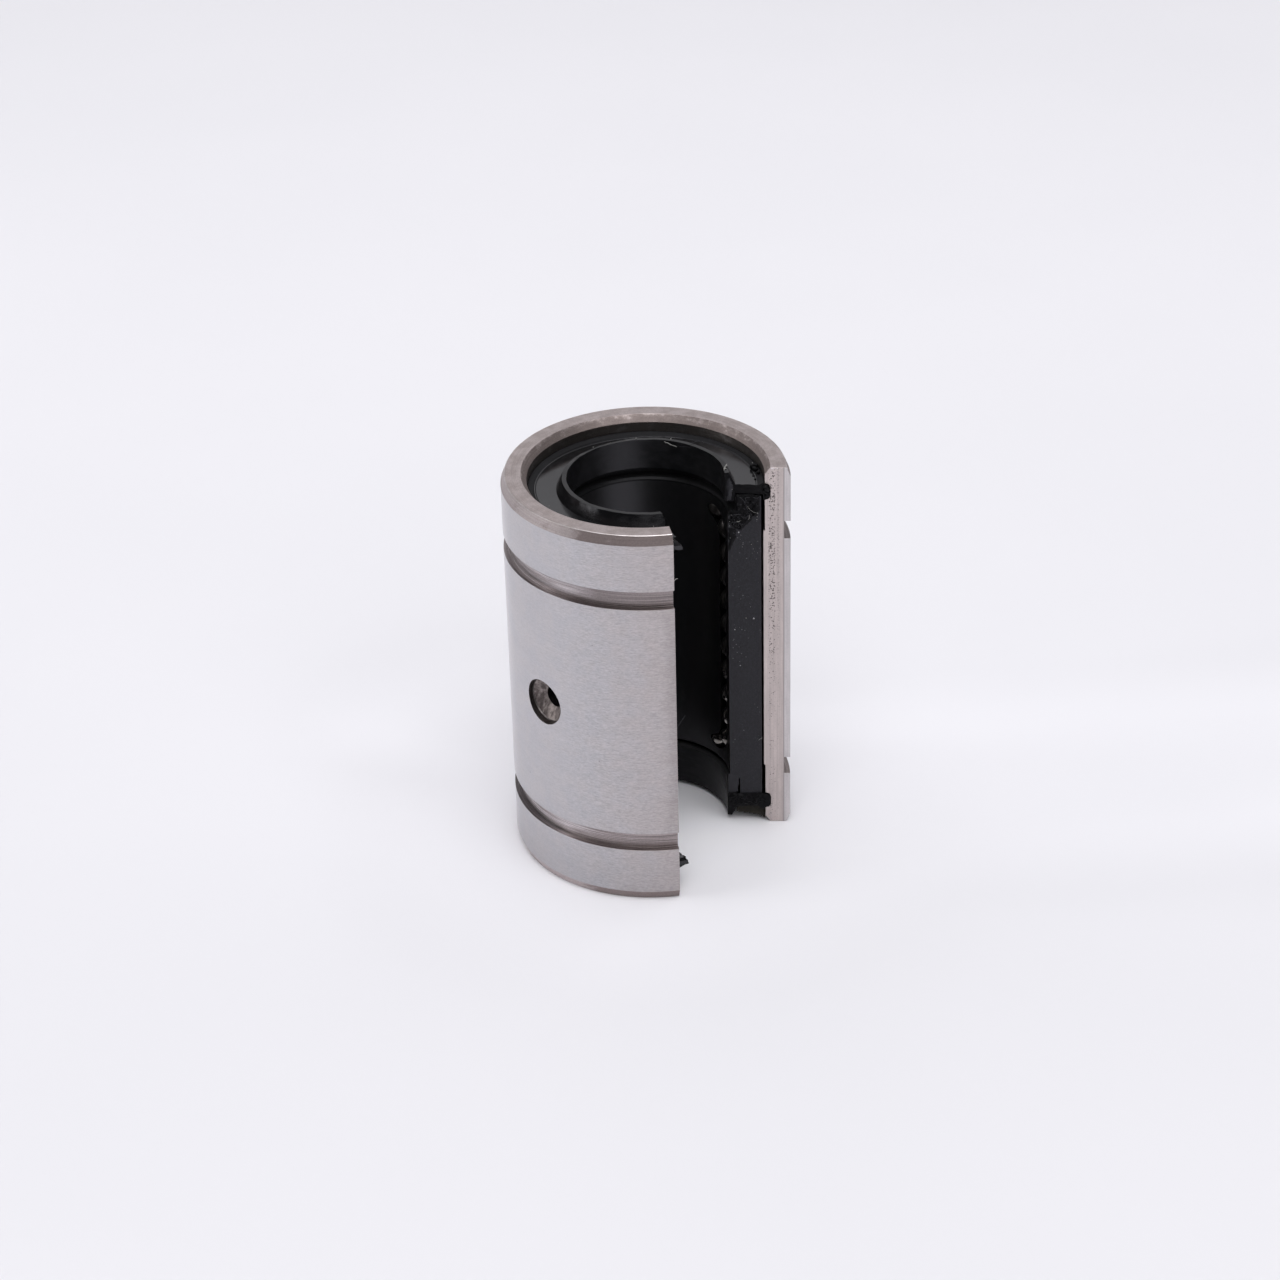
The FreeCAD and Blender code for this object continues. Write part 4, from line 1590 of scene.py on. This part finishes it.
    def crumb(self, place: Vector, size: float, scrap: Scrap, stretch: Triple = (1.0, 1.0, 1.0)) -> None:
        """Put down a lumpy crumb.

        Args:
            place: Its middle in millimetres.
            size: Its width in millimetres.
            scrap: What it is made of.
            stretch: Factors along X, Y and Z.
        """
        made = bmesh.ops.create_icosphere(self.mesh, subdivisions=2, radius=size / 2)["verts"]
        seed = self.chance.randrange(1000)
        for vert in made:
            lump = 1.0 + self.lump * ragged(vert.co, size * self.lump_pitch, seed)
            offset = Vector([part * factor * lump for part, factor in zip(vert.co, stretch)])
            vert.co = (place + offset) * MM
        for face in {face for vert in made for face in vert.link_faces}:
            face.material_index = scrap.value
            face.smooth = True

    def tear_upper_cut(self) -> None:
        """Tear the cage's upper corner beside the slit."""
        patch = [
            (6.22, 11.4), (6.6, 10.9), (7.15, 10.6), (7.65, 11.1), (8.4, 11.85), (8.62, 12.3), (8.62, 13.6),
            (6.85, 13.65), (6.84, 12.5), (6.22, 12.12),
        ]
        scar = [(6.22, 10.9), (6.75, 10.75), (7.0, 10.35), (6.7, 9.75), (6.42, 9.0), (6.22, 8.6)]
        collar = [(6.14, 13.08), (6.56, 13.08), (6.66, 13.8), (6.68, 14.4), (6.36, 15.0), (6.16, 14.7)]
        self.plate(patch, self.cage_cut, 0.10, 0.13, Scrap.TORN)
        self.plate(scar, self.cage_cut, 0.05, 0.06, Scrap.TORN)
        self.plate(collar, self.collar_cut, 0.09, 0.05, Scrap.SAWN)
        self.curl_threads(patch)
        self.threads(self.on_cage, Scrap.PALE, (
            ((7.72, 12.75, 0.15), (7.95, 12.25, 0.25), (8.55, 12.12, 0.12), 0.026),
            ((7.84, 12.05, 0.15), (7.88, 11.8, 0.22), (7.77, 11.55, 0.1), 0.04),
            ((6.86, 11.48, 0.15), (7.0, 11.36, 0.2), (7.16, 11.52, 0.15), 0.04),
        ))
        self.threads(self.on_cage, Scrap.SAWN, (
            ((7.12, 13.5, 0.12), (7.5, 13.4, 0.3), (7.48, 12.9, 0.15), 0.08),
            ((7.52, 13.5, 0.12), (7.55, 13.0, 0.3), (7.7, 12.45, 0.15), 0.07),
            ((8.1, 13.5, 0.1), (8.35, 13.42, 0.25), (8.58, 13.46, 0.1), 0.06),
            ((6.3, 11.85, 0.1), (6.85, 12.2, 0.25), (7.3, 12.0, 0.15), 0.07),
            ((6.28, 11.25, 0.1), (6.75, 11.6, 0.3), (7.25, 11.25, 0.15), 0.07),
            ((7.2, 11.9, 0.12), (7.55, 11.6, 0.3), (7.95, 12.15, 0.12), 0.06),
        ))
        crumbs = (
            (6.5, 11.97, 0.08), (8.47, 12.1, 0.09), (8.45, 11.8, 0.06), (8.42, 11.55, 0.06),
            (6.32, 11.4, 0.07), (6.33, 11.02, 0.06), (6.37, 9.98, 0.06), (8.0, 9.4, 0.07),
            (7.9, 3.9, 0.06), (7.55, 2.9, 0.06),
        )
        for radius, height, size in crumbs:
            self.crumb(self.on_cage(radius, height, self.crumb_lift), size, Scrap.PALE)

    def curl_threads(self, outline: Outline) -> None:
        """Scatter short curled threads over a torn patch of the cage's cut face.

        Args:
            outline: The patch's corners as radius and height.
        """
        draw = self.chance.uniform
        first, second, third = self.curl_lifts
        for _ in range(self.curls):
            radius, height = draw(*self.curl_radii), draw(*self.curl_heights)
            turn, reach = draw(0.0, math.tau), draw(*self.curl_reach)
            if self.inside(radius, height, outline) < self.curl_margin:
                continue
            ahead = (radius + reach * math.cos(turn), height + reach * math.sin(turn))
            turn += self.curl_turn
            reach *= self.curl_back
            back = (ahead[0] + reach * math.cos(turn), ahead[1] + reach * math.sin(turn))
            thickness = draw(*self.curl_thickness)
            course = ((radius, height, first), (*ahead, second), (*back, third), thickness)
            self.threads(self.on_cage, Scrap.SAWN, (course,))

    def smear_lower_cut(self) -> None:
        """Smear the cage's lower corner over the ring's collar, lay a dark sheet of painted shade under the
        ring's end, and pile crumbs on the ring's end.
        """
        smear = [(6.05, -11.5), (6.9, -11.5), (6.84, -12.3), (6.78, -13.15), (6.1, -13.3)]
        self.plate(smear, self.cage_cut, 0.035, 0.02, Scrap.SAWN)
        # painted shade: a dark olive sheet under the lower ring's web, where the floor lies in shadow
        shade_sheet = [(6.7, -14.4), (8.98, -14.4), (9.0, -15.75), (8.45, -15.42), (7.6, -15.25), (6.7, -15.1)]
        self.plate(shade_sheet, self.shade_sheet_cut, 0.05, 0.06, Scrap.GREASE)
        ragged_end = [
            (6.1, -13.2), (7.0, -13.35), (8.7, -13.3), (9.36, -13.45), (9.36, -14.3), (8.6, -14.45),
            (6.9, -14.5), (6.1, -14.9),
        ]
        self.plate(ragged_end, self.steel_cut, 0.10, 0.22, Scrap.TORN)
        self.crumb(self.on_cage(9.08, -13.8, 0.05), 0.6, Scrap.TORN, (0.7, 0.7, 1.2))
        self.crumb(polar(9.10, -124.9, -13.85), 0.34, Scrap.SAWN, (0.9, 0.9, 1.0))
        fibre = ((8.5, -8.3, 0.05), (8.65, -8.1, 0.15), (8.85, -8.0, 0.1), 0.05)
        self.threads(self.on_cage, Scrap.PALE, (fibre,))

    def litter_upper_ring(self) -> None:
        """Leave crumbs on the upper ring's rim and end, and flakes along its lip."""
        crumbs = (
            (8.5, -33.0, 14.74, 0.44), (8.78, -33.5, 14.82, 0.38), (8.6, -36.0, 14.74, 0.44),
            (8.72, -40.0, 14.72, 0.34), (8.3, -41.0, 14.55, 0.22), (8.35, -45.0, 14.55, 0.2),
            (9.12, -51.5, 14.25, 0.6), (9.2, -51.5, 13.75, 0.5),
        )
        for radius, angle, height, size in crumbs:
            self.crumb(polar(radius, angle, height), size, Scrap.TORN)
        flakes = (
            (8.63, -31.0, 14.9, 0.09), (6.28, 80.0, 15.46, 0.09), (6.25, 47.0, 15.46, 0.1),
            (6.3, 22.0, 15.46, 0.09), (6.1, -42.0, 15.45, 0.2), (6.27, -39.0, 15.5, 0.16),
            (5.98, 25.0, 15.25, 0.09), (5.98, 18.0, 15.05, 0.07),
        )
        for radius, angle, height, size in flakes:
            self.crumb(polar(radius, angle, height), size, Scrap.PALE, (1.0, 1.0, 0.6))
        self.crumb(polar(9.12, -124.0, 13.98), 0.46, Scrap.SAWN, (0.9, 0.9, 1.1))
        self.threads(polar, Scrap.PALE, (
            ((5.98, 26.5, 15.32), (5.92, 23.0, 15.28), (5.97, 19.0, 15.05), 0.06),
            ((5.97, 22.0, 15.1), (5.92, 19.5, 15.18), (5.97, 16.5, 15.02), 0.05),
            ((5.98, -44.5, 15.42), (6.15, -40.0, 15.62), (6.4, -36.0, 15.48), 0.07),
        ))
        self.threads(polar, Scrap.SAWN, (
            ((5.97, 14.0, 15.12), (5.93, 9.5, 15.25), (5.98, 5.0, 15.22), 0.035),
            ((6.2, 6.0, 15.48), (7.1, 2.5, 15.62), (6.95, 0.0, 15.4), 0.04),
        ))

    def leave_whiskers(self) -> None:
        """Leave fine fibres on the sleeve's left cut edge and a burr along its right cut edge."""
        hair = ((10.97, -129.1, 12.2), (10.82, -128.2, 12.35), (10.66, -127.2, 12.2), 0.05)
        fibre = ((10.9, -129.1, -0.6), (10.65, -127.0, -0.1), (10.25, -124.5, 0.1), 0.035)
        self.threads(polar, Scrap.PALE, (hair,))
        self.threads(polar, Scrap.SAWN, (fibre,))
        burr = [(9.5, 15.86), (10.75, 15.84), (10.75, 15.97), (9.5, 15.97)]
        self.plate(burr, self.steel_cut, 0.05, 0.05, Scrap.STEEL)

    def dress(self) -> Piece:
        """Build every bit as one piece.

        Returns:
            The new piece.
        """
        self.tear_upper_cut()
        self.smear_lower_cut()
        self.litter_upper_ring()
        self.leave_whiskers()
        bmesh.ops.recalc_face_normals(self.mesh, faces=self.mesh.faces)
        black = (0.0032, 0.0032, 0.0036, 1.0)
        finishes = {
            Scrap.TORN: RingPlastic(
                black, black, name="torn_plastic", roughness=0.42, gloss=0.13, grain_depth=0.02),
            Scrap.SAWN: RingPlastic(
                (0.0090, 0.0090, 0.0115, 1.0), (0.013, 0.013, 0.016, 1.0), name="smeared_plastic",
                roughness=0.5, gloss=0.46),
            Scrap.PALE: RingPlastic(
                (0.24, 0.24, 0.23, 1.0), (0.36, 0.35, 0.33, 1.0), name="pale_flecks", roughness=0.4),
            # dark olive finish of the sheet of painted shade
            Scrap.GREASE: RingPlastic(
                (0.014, 0.0122, 0.0082, 1.0), (0.024, 0.021, 0.014, 1.0), name="painted_shade_sheet", gloss=0.15),
            # The burr is painted far brighter than the sleeve's steel: partly bare steel, partly a painted
            # glint.
            Scrap.STEEL: TurnedSteel(
                "steel_burr_painted_glint", (0.80, 0.76, 0.76, 1.0), (0.62, 0.57, 0.56, 1.0), 0.4, 0.34),
        }
        piece = new_piece("torn_plastic", self.mesh, [finishes[scrap].material() for scrap in Scrap])
        LOG.info("%s lies on the cut faces", piece.name)
        return piece


@dataclass
class BallTrains:
    """The three endless trains of bearing balls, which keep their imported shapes."""

    mark: str = "_ball"

    def dress(self) -> None:
        """Give every ball its finish."""
        material = PolishedBall().material()
        for name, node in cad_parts.items():
            if self.mark in name and name != BallCage.node:
                node.material_slots[0].material = material
                LOG.info("%s keeps its packed shape", name)


@dataclass
class Studio:
    """Pale paper floor, soft lights, a surround that is dimmer in front, and the camera of the photograph."""

    floor_half: float = 0.7
    eye: Triple = (-162.0924, -140.5722, 125.9457)
    view: Triple = (0.650914, 0.568396, -0.503227)
    roll: float = -1.4662
    lens: float = 89.485
    sensor: float = 36.0
    clip_start: float = 0.01
    surround: Colour = (0.985, 0.98, 1.0, 1.0)
    far_strength: float = 0.76
    near_strength: float = 0.05
    near_reach: float = -0.35
    far_reach: float = 0.9
    paper_strength: float = 0.88

    def build(self) -> None:
        """Set the whole stage."""
        self.lay_floor()
        self.light_surround()
        self.hang_lamps()
        self.place_camera()
        bpy.context.scene.view_settings.view_transform = "Standard"

    def lay_floor(self) -> None:
        """Lay the paper under the part's lower end."""
        mesh = bmesh.new()
        bmesh.ops.create_grid(mesh, x_segments=1, y_segments=1, size=self.floor_half)
        floor = mesh_object("paper_floor", mesh, [BackdropPaper().material()])
        floor.location.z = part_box("outer_sleeve")[0].z

    def light_surround(self) -> None:
        """Light the part from all round, less from the photographer's side; the camera sees pale paper."""
        world = bpy.data.worlds.new("surround")
        bpy.context.scene.world = world
        sheet = NodeSheet("surround", world)
        ahead = Vector((self.view[0], self.view[1], 0.0)).normalized()
        place = sheet.add("ShaderNodeTexCoord", {}).outputs["Generated"]
        depth = sheet.along(place, ahead)
        glow = sheet.span(depth, self.near_reach, self.far_reach, self.near_strength, self.far_strength)
        seen = sheet.add("ShaderNodeLightPath", {}).outputs["Is Camera Ray"]
        paper = sheet.times(seen, self.paper_strength)
        sheet.feed(sheet.shader.inputs["Color"], self.surround)
        sheet.feed(sheet.shader.inputs["Strength"], sheet.math("MAXIMUM", glow, paper))

    def hang_lamps(self) -> None:
        """Hang the large soft lamps."""
        self.lamp("overhead_softbox", (-0.10, -0.14, 0.80), 0.95, 4.75)
        self.lamp("front_softbox", (-0.30, -0.45, 0.75), 0.9, 3.7)
        self.lamp("left_softbox", (-0.53, 0.50, 0.31), 0.30, 1.4)

    def lamp(self, name: str, place: Sequence[float], size: float, power: float) -> None:
        """Add a square lamp that faces the part.

        Args:
            name: Name of the lamp.
            place: Its middle in metres.
            size: Length of its sides in metres.
            power: Its power in watts.
        """
        data = bpy.data.lights.new(name, "AREA")
        data.size = size
        data.energy = power
        lamp = bpy.data.objects.new(name, data)
        lamp.location = place
        lamp.rotation_mode = "QUATERNION"
        lamp.rotation_quaternion = Vector(place).to_track_quat("Z", "Y")
        bpy.context.scene.collection.objects.link(lamp)

    def place_camera(self) -> None:
        """Put the camera where the photograph was taken from."""
        ahead = Vector(self.view).normalized()
        level = ahead.cross(Vector((0.0, 0.0, 1.0))).normalized()
        upright = level.cross(ahead)
        turn = math.radians(self.roll)
        right = level * math.cos(turn) + upright * math.sin(turn)
        top = upright * math.cos(turn) - level * math.sin(turn)
        data = bpy.data.cameras.new("photo_camera")
        data.lens = self.lens
        data.sensor_width = self.sensor
        data.clip_start = self.clip_start
        camera = bpy.data.objects.new("photo_camera", data)
        camera.matrix_world = Matrix((
            (right.x, top.x, -ahead.x, self.eye[0] * MM),
            (right.y, top.y, -ahead.y, self.eye[1] * MM),
            (right.z, top.z, -ahead.z, self.eye[2] * MM),
            (0.0, 0.0, 0.0, 1.0),
        ))
        bpy.context.scene.collection.objects.link(camera)
        bpy.context.scene.camera = camera


def ring_finishes(bore_gloss: float) -> list[Material]:
    """Give one finish per zone of an end ring, in the zones' order.

    Args:
        bore_gloss: Gloss of the ring's bore.

    Returns:
        The materials.
    """
    torn = (0.0025, 0.0025, 0.0028, 1.0)
    painted_gap_light = (0.022, 0.022, 0.023, 1.0)
    finishes = {
        RingZone.WEB: RingPlastic(roughness=0.13, gloss=0.54, grain_depth=0.0018),
        RingZone.RIM: RingPlastic(name="ring_rim_matt", roughness=0.62, gloss=0.22),
        RingZone.LIP: RingPlastic(name="ring_lip_gloss", roughness=0.18, gloss=0.28),
        RingZone.BORE: RingPlastic(name="ring_bore_satin", roughness=0.34, gloss=bore_gloss),
        RingZone.CUT: RingPlastic(
            torn, torn, name="ring_end_torn", roughness=0.5, gloss=0.16, grain_depth=0.02),
        # painted light: the collar's end face, in the dark gap by the cage, gets a lighter tone
        RingZone.FOOT: RingPlastic(painted_gap_light, painted_gap_light, name="ring_foot_painted_gap_light", roughness=0.5),
    }
    return [finishes[zone].material() for zone in RingZone]


def main() -> None:
    """Dress the bushing piece by piece and set the stage."""
    logging.basicConfig(level=logging.INFO, format="%(name)s: %(message)s")
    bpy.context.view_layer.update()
    SteelSleeve().dress()
    upper_ring = EndRing(
        "upper_end_ring", upside_down=False, collar_bottom=13.0, tip_low=13.69, tip_flat=0.33, tip_slope=0.72,
        seed=1)
    lower_ring = EndRing(
        "lower_end_ring", upside_down=True, collar_bottom=12.25, tip_low=14.10, tip_flat=0.46, tip_slope=1.2,
        seed=5, lip_top=15.58)
    upper_ring.dress(ring_finishes(bore_gloss=0.36))
    lower_ring.dress(ring_finishes(bore_gloss=0.18))
    BallCage().dress()
    TornPlastic().dress()
    BallTrains().dress()
    Studio().build()


if __name__ == "__main__":
    main()
